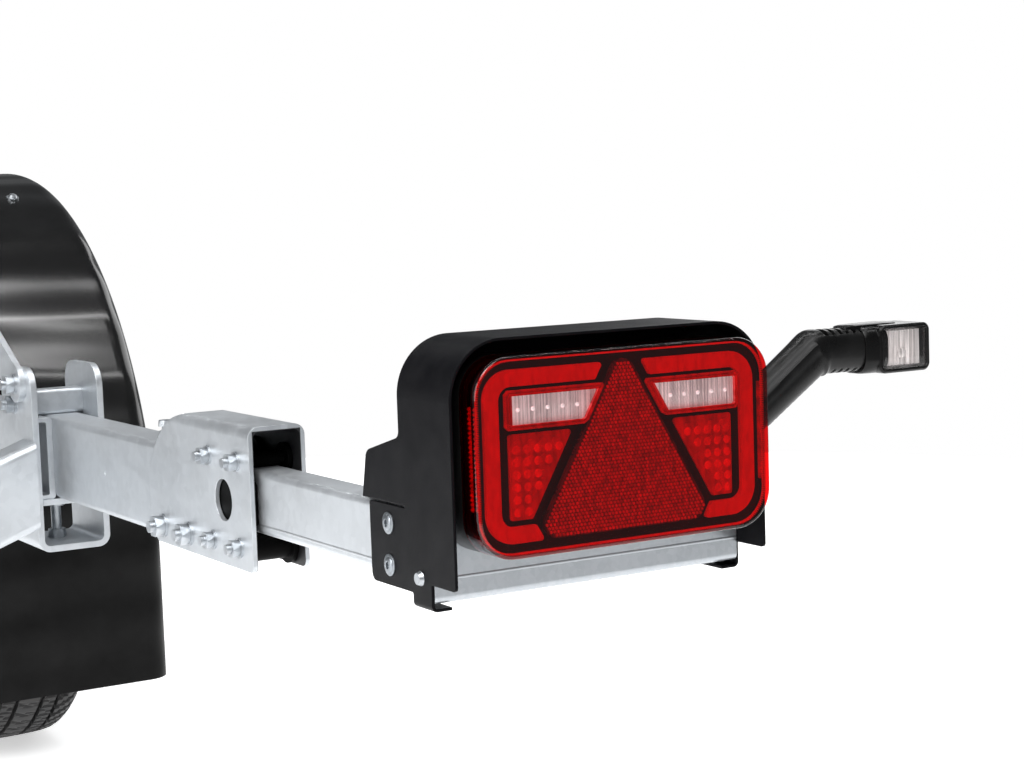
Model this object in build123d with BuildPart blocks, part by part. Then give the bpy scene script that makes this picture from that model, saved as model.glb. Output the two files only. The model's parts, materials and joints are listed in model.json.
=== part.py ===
from build123d import *

import os
from math import cos, radians, sin, tan

# Rear corner of a galvanised boat trailer: wheel, mudguard, side beam and telescopic lamp arm.
#
# Frame, in millimetres: the origin is the centre of the splice holes on the beam's inboard face.
# +X points outboard, -Y to the rear of the trailer (the way the lamp faces) and +Z up.

# ---------------------------------------------------------------- driving dimensions
# Fits
RUN = 0.05  # radial clearance of a running fit
GAP = 0.3  # clearance between neighbours that slide past each other
HOLE_PLAY = 0.5  # radial clearance of a bolt in its hole
LIFT = 0.02  # gap that keeps a washer and its nut two pieces
CUT = 1.0  # how far a cutting shape runs past the face it cuts

# Side beam of the chassis
BEAM_W = 40.0
BEAM_H = 80.0
BEAM_WALL = 3.0
BEAM_R = 6.0
BEAM_LENGTH = 1540.0
BEAM_FRONT = 70.0
SPLICE_DY = 80.0
SPLICE_DZ = 40.0
SPLICE_R = 6.5
DRAIN_R = 2.0
DRAIN_FROM_REAR = 238.0

# Telescopic arm
ARM_W = 30.0
ARM_H = 50.0
ARM_WALL = 3.0
ARM_R = 5.0
ARM_LENGTH = 1050.0
ARM_REAR = -1820.0
ARM_Z = 10.0
SLIDER_LENGTH = 40.0
SLIDER_SPIGOT = 30.0
SLIDER_R = 4.0

# Slide bracket
BRACKET_T = 4.0
BRACKET_R = 9.0
BRACKET_TOP = 70.0
BRACKET_BOTTOM = -44.0
BRACKET_REAR_GAP = 103.0  # how far the bracket reaches past the beam's rear end
BRACKET_GRIP = 100.0  # how far it reaches forward over the beam, at its lower corner
BRACKET_NOSE = 14.0
SIGHT_HOLE_R = 17.0
SIGHT_HOLE = (54.0, 8.0)  # from the bracket's rear edge, and height
ROLLER_PITCH = 53.0
ROLLER_FROM_REAR = 26.0
UPPER_CORE_R = 6.0
UPPER_FLANGE_R = 12.0
LOWER_CORE_R = 12.0
LOWER_FLANGE_R = 16.5
ROLLER_FLANGE_T = 4.0
ROLLER_TOUCH = 0.1
AXLE_R = 4.0
THREAD_TIP = 4.0
BEAM_BOLT_R = 5.0
BEAM_BOLT_Z = -29.0
BEAM_BOLT_PITCH = 57.0
BEAM_BOLT_IN = 28.0  # first beam bolt, ahead of the beam's rear end
LOCK_SCREW_IN = 130.0
LOCK_SCREW_OUT = 4.0

# Cross tube behind the lamp
CROSS_D = 30.0
CROSS_H = 60.0
CROSS_Z = 4.0
PLUG_LENGTH = 20.0

# Lamp cover, folded from sheet
SHEET = 2.0
COVER_W = 252.0
COVER_TOP = 150.0
COVER_R = 40.0
COVER_REAR = -1881.5
COVER_DEPTH = 71.5
COVER_SKIRT_Z = -12.5
HOOD_W = 38.0
HOOD_REACH = 57.0
HOOD_TOP_REAR = 82.6
HOOD_TOP_FRONT = 69.4
SLOT_Z = 35.0
SLOT_W = 1.5
TAIL_REACH = 47.0
TAIL_BOTTOM = -21.0
FOOT_W = 26.0
FOOT_FROM_REAR = 32.5
FOOT_DROP = 5.0  # under the cross tube
FOOT_IN = 15.0

# Rear lamp
LAMP_W = 234.5
LAMP_H = 132.3
LAMP_R = 27.0
LAMP_BOTTOM = 7.0
LAMP_FACE = -1900.0
LENS_DEPTH = 22.0
LENS_T = 2.5
LAMP_DEPTH = 47.0
BASE_T = 3.0
OPTIC_BACK = 9.0  # from the face to the back of the optics
TRAY_T = 2.0
MOUNT_PLATE_T = 3.0

# Side marker lamp
MARKER_Y = -1850.0
MARKER_Z = 74.0
MARKER_ROOT_R = 13.0
MARKER_ROOT_OUT = 16.0
MARKER_RISE = 41.0  # degrees
MARKER_LEG = 72.0
MARKER_NECK = 47.0
MARKER_HEAD = (57.0, 36.0, 37.5)
MARKER_LENS = (40.0, 26.5)

# Wheel, suspension and mudguard
WHEEL = (150.0, -255.0, -182.0)
TYRE_R = 297.0
TYRE_W = 165.0
BEAD_R = 165.0
RIM_W = 114.0
RIM_T = 3.0
RIM_OFFSET = 30.0
WHEEL_BOLT_PCD = 100.0
WHEEL_BOLT_R = 6.0
WHEEL_BOLTS = 4
VALVE_R = 4.0
PIVOT = (-125.0, -75.0)
AXLE_TUBE = 60.0
AXLE_TUBE_WALL = 5.0
AXLE_TUBE_IN = -160.0
AXLE_TUBE_OUT = 42.0
AXLE_CORE = 20.0
CORD_R = 9.7
SWING_T = 22.0
AXLE_BOLT_Y = 55.0  # axle bolts, fore and aft of the pivot
SWING_BOSS_R = 32.0
SPINDLE_BOSS_R = 24.0
SPINDLE_R = 15.0
MUD_R = 475.0
MUD_W = 190.0
MUD_T = 4.0
MUD_INNER = 57.0
MUD_TUCK = 15.0  # inner edge of the band where it passes below the beam
MUD_TUCK_ARC = 16.0  # degrees of the band that are this wide, above the flap
MUD_FLAP = 141.0
STAY_W = 40.0
STAY_T = 5.0
STAY_ANGLE = 22.0
STAY_REACH = 150.0
STAY_BOLT_R = 4.0
STAY_FOOT = 165.0  # radius of the stay's lower end, from the wheel centre

# Saddle clamp and cross member
SADDLE_T = 6.0
SADDLE_IN = -18.0
SADDLE_OUT = 42.0
SADDLE_BOTTOM = -84.0
SADDLE_TOP = 90.0
SADDLE_REAR = -1100.0
SADDLE_LENGTH = 95.0
CLAMP_TUBE = 25.0
CLAMP_TUBE_WALL = 3.0
CLAMP_BOLT_R = 5.0
CLAMP_BOLT = (-1045.0, 52.5)
STRUT_BOLT = (-1068.0, 74.0)
CHANNEL_LENGTH = 70.0
PRESS_PLATE = (56.0, 72.0, 6.0)
MEMBER_H = 80.0
MEMBER_D = 50.0
MEMBER_WALL = 4.0
MEMBER_DROP = 20.0  # degrees below level, towards the middle of the trailer
MEMBER_END = -230.0
MEMBER_Z = -23.0  # height of its centre line where it meets the saddle
MEMBER_FRONT = -1060.0
FLANGE = (110.0, 130.0, 8.0)
FLANGE_DY = 80.0
FLANGE_DZ = 90.0
STRUT_W = 36.0
STRUT_T = 6.0
STRUT_LENGTH = 240.0
STRUT_RISE = 27.0

# Hexagon sizes by bolt radius: across flats, head height, nut height, washer radius and thickness
HEX = {
    3.0: (10.0, 4.0, 5.0, 6.0, 1.2),
    4.0: (13.0, 5.3, 6.5, 8.0, 1.6),
    5.0: (17.0, 6.4, 8.0, 10.0, 2.0),
    6.0: (19.0, 7.5, 10.0, 12.0, 2.5),
}

# ---------------------------------------------------------------- worked-out places
BEAM_X = BEAM_W / 2
BEAM_REAR = BEAM_FRONT - BEAM_LENGTH
ARM_FRONT = ARM_REAR + ARM_LENGTH
ARM_TOP = ARM_Z + ARM_H / 2
ARM_BOTTOM = ARM_Z - ARM_H / 2
ARM_IN = BEAM_X - ARM_W / 2
BRACKET_REAR = BEAM_REAR - BRACKET_REAR_GAP
BRACKET_FRONT = BEAM_REAR + BRACKET_GRIP
ROLLER_REAR = BRACKET_REAR + ROLLER_FROM_REAR
UPPER_Z = ARM_TOP + ROLLER_TOUCH + UPPER_CORE_R
LOWER_Z = ARM_BOTTOM - ROLLER_TOUCH - LOWER_CORE_R
UPPER_AXLES = [(ROLLER_REAR + n * (ROLLER_PITCH + 4), UPPER_Z) for n in range(2)]
LOWER_AXLES = [(ROLLER_REAR + n * ROLLER_PITCH, LOWER_Z) for n in range(2)]
BEAM_BOLTS = [(BEAM_REAR + BEAM_BOLT_IN + n * BEAM_BOLT_PITCH, BEAM_BOLT_Z) for n in range(2)]
CROSS_Y = ARM_REAR - CROSS_D / 2
CROSS_BOTTOM = CROSS_Z - CROSS_H / 2
COVER_IN = ARM_IN - SHEET
COVER_X = COVER_IN + COVER_W / 2
COVER_OUT = COVER_IN + COVER_W
COVER_FRONT = COVER_REAR + COVER_DEPTH
CROSS_LENGTH = COVER_W - 2 * SHEET
LAMP_Z = LAMP_BOTTOM + LAMP_H / 2
FLANGE_BOLTS = [(ARM_REAR + 29.0, ARM_Z + 12.0), (ARM_REAR + 30.0, ARM_Z - 17.0)]
PLATE_SCREW = (CROSS_Y + 1.0, -10.0)
FOOT_REAR = COVER_REAR + FOOT_FROM_REAR
FOOT_BOTTOM = CROSS_BOTTOM - FOOT_DROP
MUD_OUTER = MUD_INNER + MUD_W
MUD_IN_R = MUD_R - MUD_T
HUB_FACE = WHEEL[0] + RIM_OFFSET
SWING_IN = AXLE_TUBE_OUT + GAP
SWING_OUT = SWING_IN + SWING_T
LOCK_Y = BEAM_REAR + LOCK_SCREW_IN
STAY_BOLTS = [(WHEEL[1] + way * reach * sin(radians(STAY_ANGLE)),
               WHEEL[2] + reach * cos(radians(STAY_ANGLE))) for way in (-1, 1)
              for reach in (STAY_FOOT + 18.0, STAY_FOOT + 52.0)]


# ---------------------------------------------------------------- shared shapes and planes
def outboard(x, y=0.0, z=0.0):
    """Plane that faces +X, with its own x along +Y and its own y along +Z."""
    return Plane(origin=(x, y, z), x_dir=(0, 1, 0), z_dir=(1, 0, 0))


def rearward(y, x=0.0, z=0.0):
    """Plane that faces -Y, with its own x along +X and its own y along +Z."""
    return Plane(origin=(x, y, z), x_dir=(1, 0, 0), z_dir=(0, -1, 0))


def upward(z, x=0.0, y=0.0):
    """Plane that faces +Z."""
    return Plane(origin=(x, y, z), x_dir=(1, 0, 0), z_dir=(0, 0, 1))


def box_tube(plane, width, height, wall, corner, length):
    """Rectangular tube with rounded corners, drawn on the plane and run along its normal."""
    with BuildPart() as tube:
        with BuildSketch(plane):
            RectangleRounded(width, height, corner)
            RectangleRounded(width - 2 * wall, height - 2 * wall, max(corner - wall, 0.5),
                             mode=Mode.SUBTRACT)
        extrude(amount=length)
    return tube.part


def rod(plane, radius, length, bore=0.0):
    """Round bar, or a ring where it has a bore, along the plane's normal."""
    with BuildPart() as bar:
        with BuildSketch(plane):
            Circle(radius)
            if bore:
                Circle(bore, mode=Mode.SUBTRACT)
        extrude(amount=length)
    return bar.part


def hexagon(plane, across, height, bore=0.0):
    """Hexagon head or nut with chamfered corners, along the plane's normal."""
    with BuildPart() as head:
        with BuildSketch(plane):
            RegularPolygon(across / 2, 6, major_radius=False)
        extrude(amount=height)
        with BuildSketch(plane):
            Circle(across * 0.56)
        extrude(amount=height, taper=8, mode=Mode.INTERSECT)
        if bore:
            with BuildSketch(plane):
                Circle(bore)
            extrude(amount=height, mode=Mode.SUBTRACT)
    return head.part


def hex_bolt(plane, radius, length):
    """Hexagon bolt: its head stands on the plane, and its shank runs back from it."""
    head = HEX[radius]
    return hexagon(plane, head[0], head[1]) + rod(plane, radius, -length)


def hex_nut(plane, radius):
    """Nut that sits on the plane."""
    return hexagon(plane, HEX[radius][0], HEX[radius][2], radius + RUN)


def washer(plane, radius):
    """Plain washer that lies on the plane."""
    return rod(plane, HEX[radius][3], HEX[radius][4], radius + RUN)


def drill(plane, points, radius, depth):
    """Round holes through the open part, from the plane back along its normal."""
    with BuildSketch(plane) as holes:
        with Locations(*points):
            Circle(radius)
    extrude(holes.sketch, amount=-depth, mode=Mode.SUBTRACT)


def save(node, label):
    """Label a finished sub-part and write it to its own file."""
    node.part.label = label
    export_step(node.part, f"parts/{label}.step")


os.makedirs("parts", exist_ok=True)

# ---------------------------------------------------------------- side beam
with BuildPart() as main_beam:
    add(box_tube(rearward(BEAM_FRONT, BEAM_X), BEAM_W, BEAM_H, BEAM_WALL, BEAM_R, BEAM_LENGTH))
    through = BEAM_W + 2 * CUT
    outer_face = outboard(BEAM_W + CUT)
    splice = [(dy * SPLICE_DY / 2, dz * SPLICE_DZ / 2) for dy in (-1, 1) for dz in (-1, 1)]
    drill(outer_face, splice, SPLICE_R, through)
    drill(outer_face, BEAM_BOLTS, BEAM_BOLT_R + HOLE_PLAY, through)
    drill(outboard(CUT), [(BEAM_REAR + DRAIN_FROM_REAR, 0)], DRAIN_R, BEAM_WALL + 2 * CUT)
    drill(outer_face, STAY_BOLTS, STAY_BOLT_R + HOLE_PLAY, through)
    drill(upward(BEAM_WALL + CUT - BEAM_H / 2),
          [(BEAM_X, PIVOT[0] + way * AXLE_BOLT_Y) for way in (-1, 1)],
          BEAM_BOLT_R + HOLE_PLAY, BEAM_WALL + 2 * CUT)
    add(hexagon(upward(BEAM_H / 2, BEAM_X, LOCK_Y), HEX[AXLE_R][0], HEX[AXLE_R][2]))
    drill(upward(BEAM_H / 2 + 2 * HEX[AXLE_R][2]), [(BEAM_X, LOCK_Y)], AXLE_R + RUN,
          BEAM_WALL + 3 * HEX[AXLE_R][2])
save(main_beam, "main_beam")

with BuildPart() as beam_end_cap:
    with BuildSketch(rearward(BEAM_FRONT, BEAM_X)):
        RectangleRounded(BEAM_W, BEAM_H, BEAM_R)
    extrude(amount=-3)
    add(box_tube(rearward(BEAM_FRONT, BEAM_X), BEAM_W - 2 * BEAM_WALL - GAP,
                 BEAM_H - 2 * BEAM_WALL - GAP, 2, BEAM_WALL, 14))
save(beam_end_cap, "beam_end_cap")

# ---------------------------------------------------------------- slide bracket and its rollers
BRACKET_IN = -BRACKET_T
BRACKET_OUT = BEAM_W + BRACKET_T
with BuildPart() as slide_bracket:
    bracket_length = BRACKET_FRONT + BRACKET_NOSE - BRACKET_REAR
    bracket_tall = 2 * (BRACKET_TOP - BRACKET_BOTTOM)
    with BuildSketch(rearward(BRACKET_REAR, BEAM_X, BRACKET_TOP - bracket_tall / 2)):
        RectangleRounded(BEAM_W + 2 * BRACKET_T, bracket_tall, BRACKET_R)
    extrude(amount=-bracket_length)
    with BuildSketch(rearward(BRACKET_REAR, BEAM_X, BRACKET_TOP - BRACKET_T - bracket_tall / 2)):
        RectangleRounded(BEAM_W, bracket_tall, BRACKET_R - BRACKET_T)
    extrude(amount=-bracket_length, mode=Mode.SUBTRACT)
    with BuildSketch(outboard(BRACKET_IN - CUT)) as side:
        with BuildLine():
            Polyline((BRACKET_FRONT - 60, BRACKET_TOP), (BRACKET_REAR, BRACKET_TOP),
                     (BRACKET_REAR, BRACKET_BOTTOM), (BRACKET_FRONT, BRACKET_BOTTOM))
            ThreePointArc((BRACKET_FRONT, BRACKET_BOTTOM), (BRACKET_FRONT + BRACKET_NOSE, -3),
                          (BRACKET_FRONT, BRACKET_TOP / 2))
            ThreePointArc((BRACKET_FRONT, BRACKET_TOP / 2), (BRACKET_FRONT - 21, BRACKET_TOP - 16),
                          (BRACKET_FRONT - 60, BRACKET_TOP))
        make_face()
        fillet(side.vertices().group_by(Axis.Y)[0], 6)
    extrude(amount=BRACKET_OUT - BRACKET_IN + 2 * CUT, mode=Mode.INTERSECT)
    across = BRACKET_OUT - BRACKET_IN + 2 * CUT
    drill(outboard(BRACKET_OUT + CUT), UPPER_AXLES + LOWER_AXLES, AXLE_R + RUN, across)
    drill(outboard(BRACKET_OUT + CUT), BEAM_BOLTS, BEAM_BOLT_R + HOLE_PLAY, across)
    drill(outboard(BRACKET_OUT + CUT), [(BRACKET_REAR + SIGHT_HOLE[0], SIGHT_HOLE[1])],
          SIGHT_HOLE_R, across)
save(slide_bracket, "slide_bracket")


def guide_roller(centre, core_radius, flange_radius):
    """Flanged plastic roller that turns on a bolt between the bracket's side plates."""
    flange_x = BEAM_X - ARM_W / 2 - HOLE_PLAY - ROLLER_FLANGE_T
    width = 2 * (BEAM_X - flange_x)
    with BuildPart() as roller:
        add(rod(outboard(flange_x, *centre), core_radius, width))
        add(rod(outboard(flange_x, *centre), flange_radius, ROLLER_FLANGE_T))
        add(rod(outboard(flange_x + width, *centre), flange_radius, -ROLLER_FLANGE_T))
        drill(outboard(flange_x + width, *centre), [(0, 0)], AXLE_R + RUN, width)
    return roller


for place, upper, lower in zip(("rear", "front"), UPPER_AXLES, LOWER_AXLES):
    save(guide_roller(upper, UPPER_CORE_R, UPPER_FLANGE_R), f"upper_roller_{place}")
    save(guide_roller(lower, LOWER_CORE_R, LOWER_FLANGE_R), f"lower_roller_{place}")

BRACKET_BOLTS = [(AXLE_R, centre) for centre in UPPER_AXLES + LOWER_AXLES]
BRACKET_BOLTS += [(BEAM_BOLT_R, centre) for centre in BEAM_BOLTS]

with BuildPart() as bracket_bolts:
    for radius, centre in BRACKET_BOLTS:
        grip = BRACKET_OUT - BRACKET_IN + HEX[radius][4] + HEX[radius][2]
        add(hex_bolt(outboard(BRACKET_OUT, *centre), radius, grip + THREAD_TIP))
save(bracket_bolts, "bracket_bolts")

with BuildPart() as bracket_nuts:
    for radius, centre in BRACKET_BOLTS:
        seat = BRACKET_IN - HEX[radius][4]
        add(washer(outboard(seat, *centre), radius))
        add(hex_nut(outboard(seat - LIFT - HEX[radius][2], *centre), radius))
save(bracket_nuts, "bracket_nuts")

with BuildPart() as arm_lock_screw:
    lock_head = BEAM_H / 2 + HEX[AXLE_R][2] + LOCK_SCREW_OUT
    add(hex_bolt(upward(lock_head, BEAM_X, LOCK_Y), AXLE_R, lock_head - ARM_TOP - GAP))
save(arm_lock_screw, "arm_lock_screw")

# ---------------------------------------------------------------- telescopic arm
with BuildPart() as arm_tube:
    add(box_tube(rearward(ARM_FRONT, BEAM_X, ARM_Z), ARM_W, ARM_H, ARM_WALL, ARM_R, ARM_LENGTH))
    drill(outboard(ARM_IN + ARM_WALL + CUT), FLANGE_BOLTS, AXLE_R + RUN, ARM_WALL + 2 * CUT)
save(arm_tube, "arm_tube")

with BuildPart() as arm_slider:
    slide_w = BEAM_W - 2 * BEAM_WALL - 2 * GAP
    slide_h = BEAM_H - 2 * BEAM_WALL - 2 * GAP
    with BuildSketch(rearward(ARM_FRONT, BEAM_X)):
        RectangleRounded(slide_w, slide_h, SLIDER_R)
    extrude(amount=-SLIDER_LENGTH)
    with BuildSketch(rearward(ARM_FRONT, BEAM_X, ARM_Z)):
        RectangleRounded(ARM_W - 2 * ARM_WALL - GAP, ARM_H - 2 * ARM_WALL - GAP, ARM_R - ARM_WALL)
    extrude(amount=SLIDER_SPIGOT)
save(arm_slider, "arm_slider")

with BuildPart() as cross_tube:
    add(box_tube(outboard(COVER_IN + SHEET, CROSS_Y, CROSS_Z), CROSS_D, CROSS_H, ARM_WALL, ARM_R,
                 CROSS_LENGTH))
save(cross_tube, "cross_tube")

with BuildPart() as cross_tube_plugs:
    for start, run in ((COVER_IN + SHEET, PLUG_LENGTH), (COVER_OUT - SHEET, -PLUG_LENGTH)):
        with BuildSketch(outboard(start, CROSS_Y, CROSS_Z)):
            RectangleRounded(CROSS_D - 2 * ARM_WALL - GAP, CROSS_H - 2 * ARM_WALL - GAP,
                             ARM_R - ARM_WALL)
            with Locations((PLATE_SCREW[0] - CROSS_Y, PLATE_SCREW[1] - CROSS_Z)):
                Circle(AXLE_R / 2 + RUN, mode=Mode.SUBTRACT)
        extrude(amount=run)
save(cross_tube_plugs, "cross_tube_plugs")

# ---------------------------------------------------------------- lamp cover
HOOD_FRONT = COVER_FRONT + HOOD_REACH
TAIL_FRONT = COVER_FRONT + TAIL_REACH
FOOT_FRONT = FOOT_REAR + FOOT_W
HOOD_OUTLINE = [(COVER_FRONT, SLOT_Z + SLOT_W), (HOOD_FRONT, SLOT_Z + SLOT_W),
                (HOOD_FRONT - 7.6, HOOD_TOP_FRONT), (COVER_FRONT, HOOD_TOP_REAR)]


def side_outline(with_tail):
    """Side sheet of the cover, in Y and Z: skirt, room for the foot and, inboard, tail and hood."""
    skirt = [(COVER_REAR, COVER_TOP), (COVER_REAR, COVER_SKIRT_Z), (FOOT_REAR, COVER_SKIRT_Z),
             (FOOT_REAR, FOOT_BOTTOM), (FOOT_FRONT, FOOT_BOTTOM)]
    radii = [0, 3, 1.5, 0, 0]
    if with_tail:
        skirt += [(FOOT_FRONT, TAIL_BOTTOM), (TAIL_FRONT, TAIL_BOTTOM), (TAIL_FRONT, SLOT_Z),
                  (COVER_FRONT - 5, SLOT_Z), (COVER_FRONT - 5, SLOT_Z + SLOT_W),
                  (HOOD_FRONT, SLOT_Z + SLOT_W), (HOOD_FRONT - 7.6, HOOD_TOP_FRONT),
                  (COVER_FRONT, HOOD_TOP_REAR)]
        radii += [1.5, 6, 2, 0, 0, 0, 9, 6]
    else:
        skirt += [(FOOT_FRONT, CROSS_BOTTOM + CROSS_H), (COVER_FRONT, CROSS_BOTTOM + CROSS_H + 13)]
        radii += [1.5, 1.5]
    with BuildLine() as sheet_edge:
        FilletPolyline(*skirt, (COVER_FRONT, COVER_TOP), radius=radii + [0], close=True)
    make_face(sheet_edge.line)


with BuildPart() as lamp_cover:
    reach = HOOD_FRONT - COVER_REAR
    tall = 2 * (COVER_TOP - FOOT_BOTTOM)
    with BuildSketch(rearward(COVER_REAR, COVER_X, COVER_TOP - tall / 2)):
        RectangleRounded(COVER_W, tall, COVER_R)
        with Locations((0, -SHEET)):
            RectangleRounded(COVER_W - 2 * SHEET, tall, COVER_R - SHEET, mode=Mode.SUBTRACT)
    extrude(amount=-reach)
    with BuildSketch(outboard(COVER_IN - CUT)):
        side_outline(with_tail=True)
    inboard_half = extrude(amount=COVER_W / 2 + CUT, mode=Mode.PRIVATE)
    with BuildSketch(outboard(COVER_X)):
        side_outline(with_tail=False)
    outboard_half = extrude(amount=COVER_W / 2 + CUT, mode=Mode.PRIVATE)
    add(inboard_half + outboard_half, mode=Mode.INTERSECT)
    with BuildSketch(outboard(COVER_IN)):
        with BuildLine():
            FilletPolyline(*HOOD_OUTLINE, radius=[0, 0, 9, 0], close=True)
        make_face()
    extrude(amount=HOOD_W)
    with BuildSketch(outboard(COVER_IN + SHEET)):
        with BuildLine():
            FilletPolyline((COVER_FRONT - 2 * CUT, SLOT_Z - CUT), (HOOD_FRONT - SHEET, SLOT_Z - CUT),
                           (HOOD_FRONT - 7.6 - SHEET, HOOD_TOP_FRONT - SHEET),
                           (COVER_FRONT - 2 * CUT, HOOD_TOP_REAR - SHEET + 0.3),
                           radius=[0, 0, 9 - SHEET, 0], close=True)
        make_face()
    extrude(amount=HOOD_W - 2 * SHEET, mode=Mode.SUBTRACT)
    for edge, inward in ((COVER_IN, 1), (COVER_OUT, -1)):
        with BuildSketch(rearward(FOOT_FRONT, edge)):
            with BuildLine():
                FilletPolyline((0, FOOT_BOTTOM), (inward * FOOT_IN, FOOT_BOTTOM),
                               (inward * FOOT_IN, FOOT_BOTTOM + SHEET),
                               (inward * SHEET, FOOT_BOTTOM + SHEET),
                               (inward * SHEET, COVER_SKIRT_Z), (0, COVER_SKIRT_Z),
                               radius=[4, 0, 0, 2, 0, 0], close=True)
            make_face()
        extrude(amount=FOOT_W)
        with BuildSketch(rearward(FOOT_FRONT + CUT, edge)):
            with BuildLine():
                FilletPolyline((-inward * CUT, FOOT_BOTTOM - CUT), (inward * 8, FOOT_BOTTOM - CUT),
                               (inward * 8, FOOT_BOTTOM), (0, FOOT_BOTTOM), (0, FOOT_BOTTOM + 8),
                               (-inward * CUT, FOOT_BOTTOM + 8), radius=[0, 0, 0, 4, 0, 0],
                               close=True)
            make_face()
        extrude(amount=FOOT_W + 2 * CUT, mode=Mode.SUBTRACT)
    drill(outboard(COVER_IN + SHEET + CUT), FLANGE_BOLTS, AXLE_R + RUN, SHEET + 2 * CUT)
    drill(outboard(COVER_OUT + CUT), [PLATE_SCREW], AXLE_R / 2 + HOLE_PLAY, COVER_W + 2 * CUT)
save(lamp_cover, "lamp_cover")

with BuildPart() as cover_back_panel:
    panel_h = COVER_TOP - SHEET - (CROSS_BOTTOM + CROSS_H + 14)
    with BuildSketch(rearward(COVER_FRONT, COVER_X, COVER_TOP - SHEET - panel_h)):
        Rectangle(COVER_W - 2 * SHEET, 2 * panel_h)
        fillet(vertices().group_by(Axis.Y)[-1], COVER_R - SHEET)
        with Locations((0, -panel_h)):
            Rectangle(COVER_W, 2 * panel_h, mode=Mode.SUBTRACT)
        with Locations((COVER_IN + HOOD_W / 2 - COVER_X, 0)):
            Rectangle(HOOD_W + CUT, 2 * (HOOD_TOP_REAR - COVER_TOP + SHEET + panel_h),
                      mode=Mode.SUBTRACT)
        with Locations((20, panel_h / 3)):
            Circle(8, mode=Mode.SUBTRACT)
    extrude(amount=SHEET)
save(cover_back_panel, "cover_back_panel")

with BuildPart() as cable_gland:
    gland_at = (COVER_X + 20, COVER_TOP - SHEET - panel_h + panel_h / 3)
    add(rod(rearward(COVER_FRONT + 9, *gland_at), 8 - RUN, 9 + SHEET + 6, 3))
    add(hexagon(rearward(COVER_FRONT + 5, *gland_at), 20, 5, 8 - 2 * RUN))
    add(hexagon(rearward(COVER_FRONT - SHEET, *gland_at), 20, 4, 8 - 2 * RUN))
save(cable_gland, "cable_gland")

with BuildPart() as cover_flange_bolts:
    for centre in FLANGE_BOLTS:
        add(rod(outboard(COVER_IN, *centre), AXLE_R, SHEET + ARM_WALL + 5))
        with BuildSketch(outboard(COVER_IN, *centre)):
            Circle(9)
        extrude(amount=-2.4, taper=35)
        drill(outboard(COVER_IN, *centre), [(0, 0)], 2.2, 3)
save(cover_flange_bolts, "cover_flange_bolts")

with BuildPart() as cover_screws:
    for face, way in ((COVER_IN, 1), (COVER_OUT, -1)):
        add(rod(outboard(face, *PLATE_SCREW), AXLE_R / 2, way * (SHEET + 12)))
        with BuildSketch(outboard(face, *PLATE_SCREW)):
            Circle(5.2)
        extrude(amount=-way * 2.8, taper=25)
save(cover_screws, "cover_screws")

# ---------------------------------------------------------------- rear lamp
LAMP_SEAM = LAMP_FACE + LENS_DEPTH
LAMP_BACK = LAMP_FACE + LAMP_DEPTH
GASKET_T = 1.0
SPIGOT_REACH = 6.0
WALL_PLAY = LENS_T + GAP
OPTIC_REST = LAMP_FACE + OPTIC_BACK
OPTIC_FRONT = LAMP_FACE + 6.0
WINDOW_FRONT = LAMP_FACE + LENS_T + RUN
POST_R = 4.0
POST_GRID = (168.0, 84.0)
BOARD_FRONT = OPTIC_REST + TRAY_T + 3.0
BOARD_T = 1.6
GUIDE_IN = 9.5
GUIDE_W = 11.0
GUIDE_TOP_END = 101.7
GUIDE_LOW_END = 53.0
FLANK = tan(radians(60))
TRIANGLE_R = 10.0
TRIANGLE_SIDE = 109.0
TRIANGLE_BOTTOM = 9.7


def lamp_outline(inset, mode=Mode.ADD):
    """Rounded outline of the lamp, drawn this far inside its edge."""
    RectangleRounded(LAMP_W - 2 * inset, LAMP_H - 2 * inset, LAMP_R - inset, mode=mode)


def lamp_plane(y):
    """Plane across the lamp at this depth, with its origin at the lamp's centre."""
    return rearward(y, COVER_X, LAMP_Z)


def face_point(x, z, side=1):
    """Point of the lamp's face: x from its near edge and z from its lower edge."""
    return (side * (x - LAMP_W / 2), z - LAMP_H / 2)


def outline_pair(points, radii):
    """The same rounded outline at the left of the lamp and mirrored at its right."""
    for side in (1, -1):
        with BuildLine() as outline:
            FilletPolyline(*[face_point(x, z, side) for x, z in points], radius=radii, close=True)
        make_face(outline.line)


with BuildPart() as lamp_base:
    with BuildSketch(lamp_plane(LAMP_BACK)):
        lamp_outline(HOLE_PLAY)
    extrude(amount=LAMP_BACK - LAMP_SEAM)
    with BuildSketch(lamp_plane(LAMP_BACK - BASE_T)):
        lamp_outline(HOLE_PLAY + BASE_T)
    extrude(amount=LAMP_BACK - LAMP_SEAM, mode=Mode.SUBTRACT)
    with BuildSketch(lamp_plane(LAMP_SEAM + BASE_T)):
        lamp_outline(WALL_PLAY)
        lamp_outline(WALL_PLAY + 2, mode=Mode.SUBTRACT)
    extrude(amount=BASE_T + SPIGOT_REACH)
    with BuildSketch(lamp_plane(LAMP_BACK - BASE_T)):
        with GridLocations(*POST_GRID, 2, 2):
            Circle(POST_R)
    extrude(amount=LAMP_BACK - BASE_T - BOARD_FRONT - BOARD_T)
    drill(lamp_plane(LAMP_BACK - BASE_T - CUT), [(-LAMP_W / 3, LAMP_H / 5), (LAMP_W / 3, LAMP_H / 5)],
          3 + HOLE_PLAY, BASE_T + 2 * CUT)
save(lamp_base, "lamp_base")

with BuildPart() as lamp_gasket:
    with BuildSketch(lamp_plane(LAMP_SEAM)):
        lamp_outline(HOLE_PLAY)
        lamp_outline(LENS_T, mode=Mode.SUBTRACT)
    extrude(amount=GASKET_T)
save(lamp_gasket, "lamp_gasket")

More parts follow.
